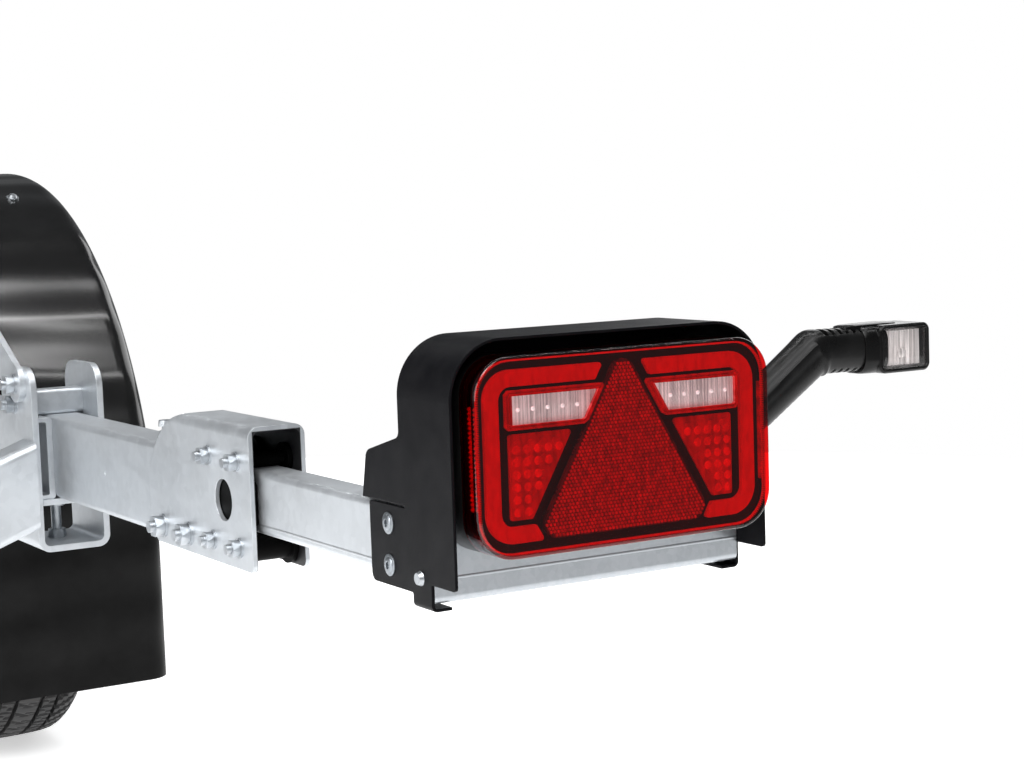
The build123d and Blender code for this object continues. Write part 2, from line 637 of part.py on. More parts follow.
with BuildPart() as lamp_lens:
    with BuildSketch(lamp_plane(LAMP_SEAM - GASKET_T)):
        lamp_outline(0)
    extrude(amount=LENS_DEPTH - GASKET_T)
    fillet(faces().sort_by(Axis.Y)[0].edges(), LENS_T)
    with BuildSketch(lamp_plane(LAMP_SEAM - GASKET_T)):
        lamp_outline(LENS_T)
    extrude(amount=LENS_DEPTH - GASKET_T - LENS_T, mode=Mode.SUBTRACT)
save(lamp_lens, "lamp_lens")

with BuildPart() as optic_tray:
    with BuildSketch(lamp_plane(OPTIC_REST + TRAY_T)):
        lamp_outline(WALL_PLAY)
    extrude(amount=TRAY_T)
    with BuildSketch(lamp_plane(BOARD_FRONT)):
        with GridLocations(*POST_GRID, 2, 2):
            Circle(POST_R - 1)
    extrude(amount=BOARD_FRONT - OPTIC_REST - TRAY_T)
save(optic_tray, "optic_tray")

with BuildPart() as light_guides:
    with BuildSketch(lamp_plane(OPTIC_REST)):
        top, low = LAMP_H - GUIDE_IN, GUIDE_IN
        inner = GUIDE_IN + GUIDE_W
        lean = GUIDE_W / FLANK
        outline_pair([(GUIDE_IN, top), (GUIDE_TOP_END, top), (GUIDE_TOP_END - lean, top - GUIDE_W),
                      (inner, top - GUIDE_W), (inner, low + GUIDE_W),
                      (GUIDE_LOW_END - lean, low + GUIDE_W), (GUIDE_LOW_END, low),
                      (GUIDE_IN, low)],
                     [20, 2, 2, 9, 9, 2, 2, 20])
    extrude(amount=OPTIC_REST - OPTIC_FRONT)
save(light_guides, "light_guides")

with BuildPart() as triangle_reflector:
    with BuildSketch(lamp_plane(OPTIC_REST)):
        low = TRIANGLE_BOTTOM - LAMP_H / 2
        reach = TRIANGLE_SIDE / 2 + TRIANGLE_R * FLANK
        with BuildLine():
            FilletPolyline((-reach, low), (reach, low), (0, low + reach * FLANK),
                           radius=TRIANGLE_R, close=True)
        make_face()
    extrude(amount=OPTIC_REST - OPTIC_FRONT)
save(triangle_reflector, "triangle_reflector")

WINDOW = [(25.0, 108.5), (94.5, 108.5), (94.5 - 24.0 / FLANK, 84.5), (25.0, 84.5)]
with BuildPart() as reversing_windows:
    with BuildSketch(lamp_plane(OPTIC_REST)):
        outline_pair(WINDOW, 2)
    extrude(amount=OPTIC_REST - WINDOW_FRONT)
    with BuildSketch(lamp_plane(OPTIC_REST)):
        outline_pair([(28.5, 105.5), (89.3, 105.5), (89.3 - 18.0 / FLANK, 87.5), (28.5, 87.5)], 1)
    extrude(amount=OPTIC_REST - WINDOW_FRONT - 2, mode=Mode.SUBTRACT)
save(reversing_windows, "reversing_windows")

with BuildPart() as reversing_leds:
    with BuildSketch(lamp_plane(OPTIC_REST)):
        outline_pair([(29.0, 105.0), (88.6, 105.0), (88.6 - 17.0 / FLANK, 88.0), (29.0, 88.0)], 1)
    extrude(amount=1)
    with BuildSketch(lamp_plane(OPTIC_REST)):
        for side in (1, -1):
            for step in range(5):
                with Locations(face_point(36.0 + 10.5 * step, 96.5, side)):
                    Circle(2.6)
    extrude(amount=2.5)
save(reversing_leds, "reversing_leds")

with BuildPart() as stop_lenses:
    with BuildSketch(lamp_plane(OPTIC_REST)):
        outline_pair([(28.0, 80.5), (77.3, 80.5), (77.3 - 56.2 / FLANK, 24.3), (28.0, 24.3)], 2)
    extrude(amount=1.5)
    with BuildSketch(lamp_plane(OPTIC_REST)):
        for side in (1, -1):
            for row in range(5):
                for column in range(4):
                    place = face_point(35.0 + 9.6 * column, 73.5 - 10.4 * row, side)
                    room = 71.0 - (7.0 + 10.4 * row) / FLANK - (35.0 + 9.6 * column)
                    if room > 0:
                        with Locations(place):
                            Circle(3.6)
    extrude(amount=OPTIC_REST - OPTIC_FRONT, taper=12)
save(stop_lenses, "stop_lenses")

with BuildPart() as circuit_board:
    with BuildSketch(lamp_plane(BOARD_FRONT + BOARD_T)):
        Rectangle(POST_GRID[0] + 20, POST_GRID[1] + 16)
    extrude(amount=BOARD_T)
save(circuit_board, "circuit_board")

with BuildPart() as lamp_mount_plate:
    with BuildSketch(lamp_plane(LAMP_BACK + MOUNT_PLATE_T)):
        RectangleRounded(LAMP_W - 20, LAMP_H - 8, 12)
    extrude(amount=MOUNT_PLATE_T)
    drill(lamp_plane(LAMP_BACK - CUT), [(-LAMP_W / 3, LAMP_H / 5), (LAMP_W / 3, LAMP_H / 5)],
          3 + HOLE_PLAY, MOUNT_PLATE_T + 2 * CUT)
save(lamp_mount_plate, "lamp_mount_plate")

with BuildPart() as lamp_bolts:
    for way in (-1, 1):
        stud = (COVER_X + way * LAMP_W / 3, LAMP_Z + LAMP_H / 5)
        plate_back = LAMP_BACK + MOUNT_PLATE_T
        add(hex_bolt(rearward(LAMP_BACK - BASE_T, *stud), 3.0,
                     BASE_T + MOUNT_PLATE_T + HEX[3.0][2] + THREAD_TIP))
        add(hex_nut(rearward(plate_back + HEX[3.0][2], *stud), 3.0))
save(lamp_bolts, "lamp_bolts")

# ---------------------------------------------------------------- side marker lamp
ROOT_X = COVER_OUT + MARKER_ROOT_OUT
ELBOW = (ROOT_X + MARKER_LEG * cos(radians(MARKER_RISE)),
         MARKER_Z + MARKER_LEG * sin(radians(MARKER_RISE)))
HEAD_IN = ELBOW[0] + MARKER_NECK
HEAD_X = HEAD_IN + MARKER_HEAD[0] / 2
HEAD_Z = ELBOW[1] - 2.0

with BuildPart() as marker_base:
    with BuildSketch(outboard(COVER_OUT, MARKER_Y, MARKER_Z)):
        RectangleRounded(38, 46, 8)
    extrude(amount=6)
    with BuildSketch(outboard(COVER_OUT, MARKER_Y, MARKER_Z)):
        RectangleRounded(2 * MARKER_ROOT_R, 2 * MARKER_ROOT_R, 3)
    extrude(amount=MARKER_ROOT_OUT)
    with BuildSketch(upward(MARKER_Z - 2 * MARKER_ROOT_R, ROOT_X, MARKER_Y)):
        Circle(MARKER_ROOT_R + GAP)
    extrude(amount=4 * MARKER_ROOT_R, mode=Mode.SUBTRACT)
save(marker_base, "marker_base")

with BuildPart() as marker_arm:
    with BuildSketch(upward(MARKER_Z - MARKER_ROOT_R, ROOT_X, MARKER_Y)):
        Circle(MARKER_ROOT_R)
    extrude(amount=2 * MARKER_ROOT_R)
    fillet(edges().filter_by(GeomType.CIRCLE), 3)
    with BuildLine() as bend:
        FilletPolyline((ROOT_X, MARKER_Y, MARKER_Z), (ELBOW[0], MARKER_Y, ELBOW[1]),
                       (HEAD_IN, MARKER_Y, ELBOW[1]), radius=20)
    with BuildSketch(Plane(origin=bend.line @ 0, z_dir=bend.line % 0)):
        Circle(MARKER_ROOT_R - 1)
    sweep()
save(marker_arm, "marker_arm")

with BuildPart() as marker_head:
    with BuildSketch(rearward(MARKER_Y + MARKER_HEAD[1] / 2, HEAD_X, HEAD_Z)):
        RectangleRounded(MARKER_HEAD[0], MARKER_HEAD[2], 4)
    extrude(amount=MARKER_HEAD[1])
    fillet(faces().sort_by(Axis.Y)[0].edges() + faces().sort_by(Axis.Y)[-1].edges(), 2)
    with BuildSketch(rearward(MARKER_Y + MARKER_HEAD[1], HEAD_X, HEAD_Z)):
        RectangleRounded(*MARKER_LENS, 3)
    extrude(amount=2 * MARKER_HEAD[1], mode=Mode.SUBTRACT)
save(marker_head, "marker_head")

with BuildPart() as marker_lenses:
    for face, way in ((MARKER_Y - MARKER_HEAD[1] / 2, -1), (MARKER_Y + MARKER_HEAD[1] / 2, 1)):
        with BuildSketch(rearward(face, HEAD_X, HEAD_Z)):
            RectangleRounded(MARKER_LENS[0] - 2 * RUN, MARKER_LENS[1] - 2 * RUN, 3 - RUN)
        extrude(amount=way * 8)
        with BuildSketch(rearward(face - way * 2.5, HEAD_X, HEAD_Z)):
            RectangleRounded(MARKER_LENS[0] - 5, MARKER_LENS[1] - 5, 1)
        extrude(amount=way * 8, mode=Mode.SUBTRACT)
save(marker_lenses, "marker_lenses")

with BuildPart() as marker_led_board:
    with BuildSketch(rearward(MARKER_Y + BOARD_T / 2, HEAD_X, HEAD_Z)):
        Rectangle(MARKER_LENS[0] - 2 * RUN, MARKER_LENS[1] - 8)
    extrude(amount=BOARD_T)
    with BuildSketch(rearward(MARKER_Y + BOARD_T / 2 + 2, HEAD_X, HEAD_Z)):
        with GridLocations(11, 9, 3, 2):
            Rectangle(4, 4)
    extrude(amount=BOARD_T + 4)
save(marker_led_board, "marker_led_board")

# ---------------------------------------------------------------- axle and wheel
AXLE_AT = (PIVOT[0], PIVOT[1])
TUBE_INSIDE = AXLE_TUBE / 2 - AXLE_TUBE_WALL
PLATE_HALF = 70.0
with BuildPart() as axle_tube:
    add(box_tube(outboard(AXLE_TUBE_IN, *AXLE_AT), AXLE_TUBE, AXLE_TUBE, AXLE_TUBE_WALL, 6,
                 AXLE_TUBE_OUT - AXLE_TUBE_IN))
    plate_top = -BEAM_H / 2
    with BuildSketch(upward(PIVOT[1] + AXLE_TUBE / 2, BEAM_X, PIVOT[0])):
        Rectangle(BEAM_W, 2 * PLATE_HALF)
        fillet(vertices(), 6)
    extrude(amount=plate_top - PIVOT[1] - AXLE_TUBE / 2)
    drill(upward(plate_top + CUT), [(BEAM_X, PIVOT[0] + way * AXLE_BOLT_Y) for way in (-1, 1)],
          BEAM_BOLT_R + HOLE_PLAY, 10)
save(axle_tube, "axle_tube")

with BuildPart() as axle_bolts:
    for way in (-1, 1):
        place = (BEAM_X, PIVOT[0] + way * AXLE_BOLT_Y)
        plate_under = PIVOT[1] + AXLE_TUBE / 2
        inside = -BEAM_H / 2 + BEAM_WALL
        add(rod(upward(plate_under, *place), BEAM_BOLT_R,
                inside - plate_under + HEX[BEAM_BOLT_R][2] + THREAD_TIP))
        add(hexagon(upward(plate_under - HEX[BEAM_BOLT_R][1], *place), HEX[BEAM_BOLT_R][0],
                    HEX[BEAM_BOLT_R][1]))
        add(hex_nut(upward(inside, *place), BEAM_BOLT_R))
save(axle_bolts, "axle_bolts")

with BuildPart() as rubber_cords:
    cord_reach = 2 * (TUBE_INSIDE - CORD_R - RUN)
    with BuildSketch(outboard(AXLE_TUBE_IN + 20, *AXLE_AT)):
        with GridLocations(cord_reach, cord_reach, 2, 2):
            Circle(CORD_R)
    extrude(amount=AXLE_TUBE_OUT - AXLE_TUBE_IN - 30)
save(rubber_cords, "rubber_cords")

with BuildPart() as swing_arm:
    with BuildSketch(outboard(SWING_IN)):
        with Locations(AXLE_AT):
            Circle(SWING_BOSS_R)
        with Locations((WHEEL[1], WHEEL[2])):
            Circle(SPINDLE_BOSS_R)
        make_hull()
    extrude(amount=SWING_T)
    fillet(edges().filter_by(Plane.YZ), 3)
    drill(outboard(SWING_OUT + CUT), [(WHEEL[1], WHEEL[2])], SPINDLE_R + RUN, SWING_T + 2 * CUT)
    with BuildSketch(outboard(SWING_IN, *AXLE_AT)):
        Rectangle(AXLE_CORE, AXLE_CORE, rotation=45)
    extrude(amount=AXLE_TUBE_IN + 10 - SWING_IN)
save(swing_arm, "swing_arm")

WHEEL_AT = (WHEEL[1], WHEEL[2])
WHEEL_AXIS = Axis(WHEEL, (1, 0, 0))
DRUM_R = 112.0
DRUM_IN = SWING_OUT + 6.0
BARREL_R = 38.0
FLANGE_R = 68.0
FLANGE_T = 8.0
BEARING_R = 26.0
BEARING_W = 12.0
BEARING_PLACES = (HUB_FACE - 72.0, HUB_FACE - 22.0)
PILOT_R = 28.0
PILOT_OUT = 8.0
AXLE_NUT_T = 8.0

with BuildPart() as brake_backplate:
    add(rod(outboard(SWING_OUT, *WHEEL_AT), DRUM_R - 3, 3, SPINDLE_R + RUN))
    with BuildSketch(outboard(SWING_OUT, *WHEEL_AT)):
        Circle(DRUM_R + 2)
        Circle(DRUM_R - 4, mode=Mode.SUBTRACT)
    extrude(amount=3)
save(brake_backplate, "brake_backplate")

with BuildPart() as stub_axle:
    add(rod(outboard(SWING_IN, *WHEEL_AT), SPINDLE_R, HUB_FACE - SWING_IN + 2))
    add(rod(outboard(SWING_OUT + 3, *WHEEL_AT), SPINDLE_R + 5, 14))
save(stub_axle, "stub_axle")

with BuildPart() as axle_nut:
    add(hexagon(outboard(HUB_FACE - AXLE_NUT_T, *WHEEL_AT), 36, AXLE_NUT_T, SPINDLE_R + RUN))
save(axle_nut, "axle_nut")

with BuildPart() as hub_drum:
    with BuildSketch(rearward(*[WHEEL[n] for n in (1, 0, 2)])):
        with BuildLine():
            start = -WHEEL[0]
            Polyline((start + DRUM_IN, DRUM_R - 7), (start + DRUM_IN, DRUM_R),
                     (start + DRUM_IN + 46, DRUM_R), (start + DRUM_IN + 50, BARREL_R),
                     (RIM_OFFSET - FLANGE_T, BARREL_R), (RIM_OFFSET - FLANGE_T, FLANGE_R),
                     (RIM_OFFSET, FLANGE_R), (RIM_OFFSET, PILOT_R),
                     (RIM_OFFSET + PILOT_OUT, PILOT_R), (RIM_OFFSET + PILOT_OUT, BEARING_R - 4),
                     (RIM_OFFSET - 10, BEARING_R - 4), (RIM_OFFSET - 10, BEARING_R),
                     (RIM_OFFSET - 22, BEARING_R), (RIM_OFFSET - 22, SPINDLE_R + 4),
                     (RIM_OFFSET - 60, SPINDLE_R + 4), (RIM_OFFSET - 60, BEARING_R),
                     (RIM_OFFSET - 78, BEARING_R), (RIM_OFFSET - 78, BARREL_R),
                     (start + DRUM_IN + 42, BARREL_R), (start + DRUM_IN + 40, DRUM_R - 7),
                     close=True)
        make_face()
    revolve(axis=WHEEL_AXIS)
    with BuildSketch(outboard(HUB_FACE + CUT, *WHEEL_AT)):
        with PolarLocations(WHEEL_BOLT_PCD / 2, WHEEL_BOLTS, start_angle=45):
            Circle(WHEEL_BOLT_R + RUN)
    extrude(amount=-FLANGE_T - 2 * CUT, mode=Mode.SUBTRACT)
save(hub_drum, "hub_drum")

with BuildPart() as wheel_bearings:
    for place in BEARING_PLACES:
        add(rod(outboard(place, *WHEEL_AT), BEARING_R - RUN, BEARING_W, SPINDLE_R + RUN))
save(wheel_bearings, "wheel_bearings")

with BuildPart() as dust_cap:
    with BuildSketch(outboard(HUB_FACE + PILOT_OUT, *WHEEL_AT)):
        Circle(PILOT_R)
    extrude(amount=16)
    fillet(faces().sort_by(Axis.X)[-1].edges(), 9)
    with BuildSketch(outboard(HUB_FACE + PILOT_OUT, *WHEEL_AT)):
        Circle(PILOT_R - 4)
    extrude(amount=10, mode=Mode.SUBTRACT)
save(dust_cap, "dust_cap")

RIM_HALF = RIM_W / 2
FLANGE_LIP = 12.0
WELL_R = BEAD_R - 19.0
DISC_T = 5.0
with BuildPart() as wheel_rim:
    wheel_plane = rearward(*[WHEEL[n] for n in (1, 0, 2)])
    with BuildSketch(wheel_plane):
        with BuildLine():
            FilletPolyline((-RIM_HALF - 3, BEAD_R + FLANGE_LIP), (-RIM_HALF, BEAD_R + FLANGE_LIP),
                           (-RIM_HALF, BEAD_R), (-36, BEAD_R - 1), (-28, WELL_R), (20, WELL_R),
                           (30, BEAD_R - 1), (RIM_HALF, BEAD_R), (RIM_HALF, BEAD_R + FLANGE_LIP),
                           (RIM_HALF + 3, BEAD_R + FLANGE_LIP), (RIM_HALF + 3, BEAD_R - RIM_T),
                           (31.5, BEAD_R - 1 - RIM_T), (21.5, WELL_R - RIM_T),
                           (-29.5, WELL_R - RIM_T), (-37.5, BEAD_R - 1 - RIM_T),
                           (-RIM_HALF - 3, BEAD_R - RIM_T),
                           radius=[1, 1, 3, 6, 6, 6, 6, 3, 1, 1, 3, 5, 5, 5, 5, 3], close=True)
        make_face()
    revolve(axis=WHEEL_AXIS)
    with BuildSketch(wheel_plane):
        with BuildLine():
            FilletPolyline((RIM_OFFSET, PILOT_R + GAP), (RIM_OFFSET, 72), (RIM_OFFSET + 14, 92),
                           (RIM_OFFSET + 12, 118), (10, WELL_R - RIM_T), (10 + DISC_T, WELL_R - RIM_T),
                           (RIM_OFFSET + 12 + DISC_T, 120), (RIM_OFFSET + 14 + DISC_T, 90),
                           (RIM_OFFSET + DISC_T, 70), (RIM_OFFSET + DISC_T, PILOT_R + GAP),
                           radius=[0, 8, 8, 10, 0, 0, 10, 8, 8, 0], close=True)
        make_face()
    revolve(axis=WHEEL_AXIS)
    with BuildSketch(outboard(HUB_FACE + 30, *WHEEL_AT)):
        with PolarLocations(WHEEL_BOLT_PCD / 2, WHEEL_BOLTS, start_angle=45):
            Circle(WHEEL_BOLT_R + HOLE_PLAY)
        with PolarLocations(108, 10):
            Circle(11)
    extrude(amount=-50, mode=Mode.SUBTRACT)
save(wheel_rim, "wheel_rim")

with BuildPart() as wheel_bolts:
    for step in range(WHEEL_BOLTS):
        turn = radians(45 + step * 360 / WHEEL_BOLTS)
        place = (WHEEL[1] + WHEEL_BOLT_PCD / 2 * cos(turn),
                 WHEEL[2] + WHEEL_BOLT_PCD / 2 * sin(turn))
        add(rod(outboard(HUB_FACE - FLANGE_T - 6, *place), WHEEL_BOLT_R, FLANGE_T + DISC_T + 12))
        add(hexagon(outboard(HUB_FACE + DISC_T, *place), HEX[6.0][0], 12))
save(wheel_bolts, "wheel_bolts")

TYRE_HALF = TYRE_W / 2
TREAD_HALF = 62.0
with BuildPart() as tyre:
    bead_out = RIM_HALF - GAP
    bead_low = BEAD_R + GAP
    with BuildSketch(wheel_plane):
        with BuildLine():
            FilletPolyline((-bead_out, bead_low), (-bead_out, bead_low + 14), (-68, BEAD_R + 26),
                           (-TYRE_HALF, TYRE_R - 62), (-TYRE_HALF + 6, TYRE_R - 16),
                           (-TREAD_HALF, TYRE_R - 2), (0, TYRE_R), (TREAD_HALF, TYRE_R - 2),
                           (TYRE_HALF - 6, TYRE_R - 16), (TYRE_HALF, TYRE_R - 62),
                           (68, BEAD_R + 26), (bead_out, bead_low + 14), (bead_out, bead_low),
                           (bead_out - 11, bead_low), (bead_out, BEAD_R + 30),
                           (TYRE_HALF - 9, TYRE_R - 62), (TYRE_HALF - 16, TYRE_R - 20),
                           (-TYRE_HALF + 16, TYRE_R - 20), (-TYRE_HALF + 9, TYRE_R - 62),
                           (-bead_out, BEAD_R + 30), (-bead_out + 11, bead_low),
                           radius=[3.5, 3, 20, 40, 9, 6, 200, 6, 9, 40, 20, 3, 3.5,
                                   2, 20, 30, 12, 12, 30, 20, 2], close=True)
        make_face()
    revolve(axis=WHEEL_AXIS)
save(tyre, "tyre")

with BuildPart() as tyre_valve:
    seat_r = WELL_R - RIM_T - VALVE_R - RUN
    add(rod(outboard(WHEEL[0] + RIM_HALF - 20, WHEEL[1], WHEEL[2] + seat_r), VALVE_R, 30))
save(tyre_valve, "tyre_valve")

# ---------------------------------------------------------------- mudguard
ARC = 188.0
BAND_LIP = 32.0
OUTER_ROUND = 28.0


def mudguard_section():
    """Band of the mudguard with its turned-in outer lip, in X and the distance from the axle."""
    near, far = MUD_INNER - WHEEL[0], MUD_OUTER - WHEEL[0]
    with BuildLine() as section:
        FilletPolyline((near, MUD_IN_R), (near, MUD_R), (far, MUD_R), (far, MUD_R - BAND_LIP),
                       (far - MUD_T, MUD_R - BAND_LIP), (far - MUD_T, MUD_IN_R),
                       radius=[0, 0, OUTER_ROUND, 0, 0, OUTER_ROUND - MUD_T], close=True)
    make_face(section.line)


with BuildPart() as mudguard:
    rear_end = Plane(origin=WHEEL, x_dir=(1, 0, 0), z_dir=(0, 0, -1))
    with BuildSketch(rear_end):
        mudguard_section()
    revolve(axis=Axis(WHEEL, (-1, 0, 0)), revolution_arc=ARC)
    with BuildSketch(rear_end):
        mudguard_section()
    extrude(amount=MUD_FLAP)
    tuck_middle = ((MUD_TUCK + MUD_INNER) / 2 - WHEEL[0], MUD_R - MUD_T / 2)
    with BuildSketch(rear_end):
        with Locations(tuck_middle):
            Rectangle(MUD_INNER - MUD_TUCK, MUD_T)
    revolve(axis=Axis(WHEEL, (-1, 0, 0)), revolution_arc=MUD_TUCK_ARC)
    with BuildSketch(rear_end):
        with Locations(tuck_middle):
            Rectangle(MUD_INNER - MUD_TUCK, MUD_T)
    extrude(amount=MUD_FLAP)
    for way in (-1, 1):
        turn = radians(STAY_ANGLE)
        tilt = Plane(origin=(WHEEL[0], WHEEL[1] + way * MUD_R * sin(turn),
                             WHEEL[2] + MUD_R * cos(turn)),
                     x_dir=(1, 0, 0), z_dir=(0, way * sin(turn), cos(turn)))
        drill(tilt, [(-40, 0), (25, 0)], 3 + HOLE_PLAY, 20)
save(mudguard, "mudguard")


def stay_plane(way, x):
    """Plane beside the beam whose own y runs out from the wheel centre, along the stay."""
    turn = way * radians(STAY_ANGLE)
    return Plane(origin=(x, WHEEL[1], WHEEL[2]), x_dir=(0, cos(turn), -sin(turn)),
                 z_dir=(1, 0, 0))


STAY_TOP = MUD_IN_R - HOLE_PLAY
with BuildPart() as mudguard_stays:
    for way in (-1, 1):
        with BuildSketch(stay_plane(way, BEAM_W)):
            with Locations((0, (STAY_FOOT + STAY_TOP) / 2)):
                Rectangle(STAY_W, STAY_TOP - STAY_FOOT)
            with Locations((0, STAY_FOOT + 18), (0, STAY_FOOT + 52)):
                Circle(STAY_BOLT_R + HOLE_PLAY, mode=Mode.SUBTRACT)
        extrude(amount=STAY_T)
        with BuildSketch(stay_plane(way, BEAM_W)):
            with Locations((0, STAY_TOP - STAY_T / 2)):
                Rectangle(STAY_W, STAY_T)
        extrude(amount=STAY_REACH)
        turn = radians(STAY_ANGLE)
        tilt = Plane(origin=(WHEEL[0], WHEEL[1] + way * STAY_TOP * sin(turn),
                             WHEEL[2] + STAY_TOP * cos(turn)),
                     x_dir=(1, 0, 0), z_dir=(0, way * sin(turn), cos(turn)))
        drill(tilt, [(-40, 0), (25, 0)], 3 + HOLE_PLAY, 20)
save(mudguard_stays, "mudguard_stays")

with BuildPart() as mudguard_fasteners:
    for centre in STAY_BOLTS:
        grip = BEAM_W + STAY_T + HEX[STAY_BOLT_R][2]
        add(hex_bolt(outboard(BEAM_W + STAY_T, *centre), STAY_BOLT_R, grip + THREAD_TIP))
        add(hex_nut(outboard(-HEX[STAY_BOLT_R][2], *centre), STAY_BOLT_R))
    for way in (-1, 1):
        turn = radians(STAY_ANGLE)
        aim = (0, way * sin(turn), cos(turn))
        for x in (-40, 25):
            under = Plane(origin=(WHEEL[0] + x,
                                  WHEEL[1] + way * (STAY_TOP - STAY_T) * aim[2] * tan(turn),
                                  WHEEL[2] + (STAY_TOP - STAY_T) * aim[2]),
                          x_dir=(1, 0, 0), z_dir=aim)
            band = Plane(origin=under.origin + Vector(*aim) * (MUD_R - STAY_TOP + STAY_T),
                         x_dir=(1, 0, 0), z_dir=aim)
            add(rod(under.offset(-HEX[3.0][2] - THREAD_TIP), 3,
                    MUD_R - STAY_TOP + STAY_T + HEX[3.0][2] + THREAD_TIP))
            add(hexagon(under.offset(-HEX[3.0][2]), HEX[3.0][0], HEX[3.0][2], 3 + RUN))
            add(rod(band, 8, 1.5))
            with BuildSketch(band.offset(1.5)):
                Circle(6)
            extrude(amount=3.5, taper=30)
save(mudguard_fasteners, "mudguard_fasteners")

# ---------------------------------------------------------------- saddle clamp and cross member
SADDLE_X = (SADDLE_IN + SADDLE_OUT) / 2
SADDLE_W = SADDLE_OUT - SADDLE_IN
with BuildPart() as saddle_clamp:
    saddle_tall = SADDLE_TOP - SADDLE_BOTTOM + SADDLE_T
    with BuildSketch(rearward(SADDLE_REAR, SADDLE_X, SADDLE_BOTTOM - SADDLE_T + saddle_tall)):
        RectangleRounded(SADDLE_W + 2 * SADDLE_T, 2 * saddle_tall, 12)
        with Locations((0, SADDLE_T)):
            RectangleRounded(SADDLE_W, 2 * saddle_tall, 12 - SADDLE_T, mode=Mode.SUBTRACT)
    extrude(amount=-SADDLE_LENGTH)
    with BuildSketch(outboard(SADDLE_IN - SADDLE_T - CUT)):
        with BuildLine():
            front = SADDLE_REAR + SADDLE_LENGTH
            low = SADDLE_BOTTOM - SADDLE_T - CUT
            FilletPolyline((SADDLE_REAR, low), (front, low), (front, SADDLE_TOP),
                           (SADDLE_REAR, SADDLE_TOP), radius=[0, 0, 22, 22], close=True)
        make_face()
    extrude(amount=SADDLE_W + 2 * SADDLE_T + 2 * CUT, mode=Mode.INTERSECT)
    across = SADDLE_W + 2 * SADDLE_T + 2 * CUT
    drill(outboard(SADDLE_OUT + SADDLE_T + CUT), [CLAMP_BOLT], CLAMP_BOLT_R + HOLE_PLAY, across)
    drill(outboard(SADDLE_IN + CUT), [STRUT_BOLT], CLAMP_BOLT_R + HOLE_PLAY, SADDLE_T + 2 * CUT)
    drill(upward(SADDLE_BOTTOM + CUT), [(SADDLE_X, CLAMP_BOLT[0])], CLAMP_BOLT_R + RUN,
          SADDLE_T + 2 * CUT)
save(saddle_clamp, "saddle_clamp")

CHANNEL_Y = SADDLE_REAR + 15.0
with BuildPart() as spacer_channel:
    with BuildSketch(rearward(CHANNEL_Y)):
        with BuildLine():
            FilletPolyline((0, -BEAM_H / 2), (SADDLE_IN, -BEAM_H / 2),
                           (SADDLE_IN, -BEAM_H / 2 + 4), (-6, -BEAM_H / 2 + 4),
                           (-6, BEAM_H / 2 - 4), (SADDLE_IN, BEAM_H / 2 - 4),
                           (SADDLE_IN, BEAM_H / 2), (0, BEAM_H / 2),
                           radius=[3, 0, 0, 2, 2, 0, 0, 3], close=True)
        make_face()
    extrude(amount=-CHANNEL_LENGTH)
save(spacer_channel, "spacer_channel")

with BuildPart() as clamp_tube:
    add(box_tube(outboard(SADDLE_IN, CLAMP_BOLT[0], CLAMP_BOLT[1]), CLAMP_TUBE, CLAMP_TUBE,
                 CLAMP_TUBE_WALL, 4, SADDLE_W))
save(clamp_tube, "clamp_tube")

with BuildPart() as pressure_plate:
    with BuildSketch(upward(-BEAM_H / 2 - PRESS_PLATE[2])):
        with Locations((SADDLE_X, CLAMP_BOLT[0] - 6)):
            RectangleRounded(PRESS_PLATE[0], PRESS_PLATE[1], 4)
        with Locations((-3, CLAMP_BOLT[0] - 28)):
            SlotOverall(14, 8, mode=Mode.SUBTRACT)
    extrude(amount=PRESS_PLATE[2])
save(pressure_plate, "pressure_plate")

with BuildPart() as clamp_fasteners:
    head, nut = HEX[CLAMP_BOLT_R][1], HEX[CLAMP_BOLT_R][2]
    add(hex_bolt(outboard(SADDLE_OUT + SADDLE_T, *CLAMP_BOLT), CLAMP_BOLT_R,
                 SADDLE_W + 2 * SADDLE_T + HEX[CLAMP_BOLT_R][4] + nut + THREAD_TIP))
    add(washer(outboard(SADDLE_IN - SADDLE_T - HEX[CLAMP_BOLT_R][4], *CLAMP_BOLT), CLAMP_BOLT_R))
    add(hex_nut(outboard(SADDLE_IN - SADDLE_T - LIFT - HEX[CLAMP_BOLT_R][4] - nut, *CLAMP_BOLT),
                CLAMP_BOLT_R))
    strut_face = SADDLE_IN - SADDLE_T - STRUT_T
    add(hex_bolt(outboard(SADDLE_IN, *STRUT_BOLT), CLAMP_BOLT_R,
                 SADDLE_IN - strut_face + HEX[CLAMP_BOLT_R][4] + nut + THREAD_TIP))
    add(washer(outboard(strut_face - HEX[CLAMP_BOLT_R][4], *STRUT_BOLT), CLAMP_BOLT_R))
    add(hex_nut(outboard(strut_face - LIFT - HEX[CLAMP_BOLT_R][4] - nut, *STRUT_BOLT),
                CLAMP_BOLT_R))
    jack_top = -BEAM_H / 2 - PRESS_PLATE[2] - head
    add(rod(upward(SADDLE_BOTTOM - SADDLE_T, SADDLE_X, CLAMP_BOLT[0]), CLAMP_BOLT_R,
            jack_top - SADDLE_BOTTOM + SADDLE_T))
    add(hexagon(upward(jack_top, SADDLE_X, CLAMP_BOLT[0]), HEX[CLAMP_BOLT_R][0], head))
    add(hex_nut(upward(SADDLE_BOTTOM, SADDLE_X, CLAMP_BOLT[0]), CLAMP_BOLT_R))
save(clamp_fasteners, "clamp_fasteners")

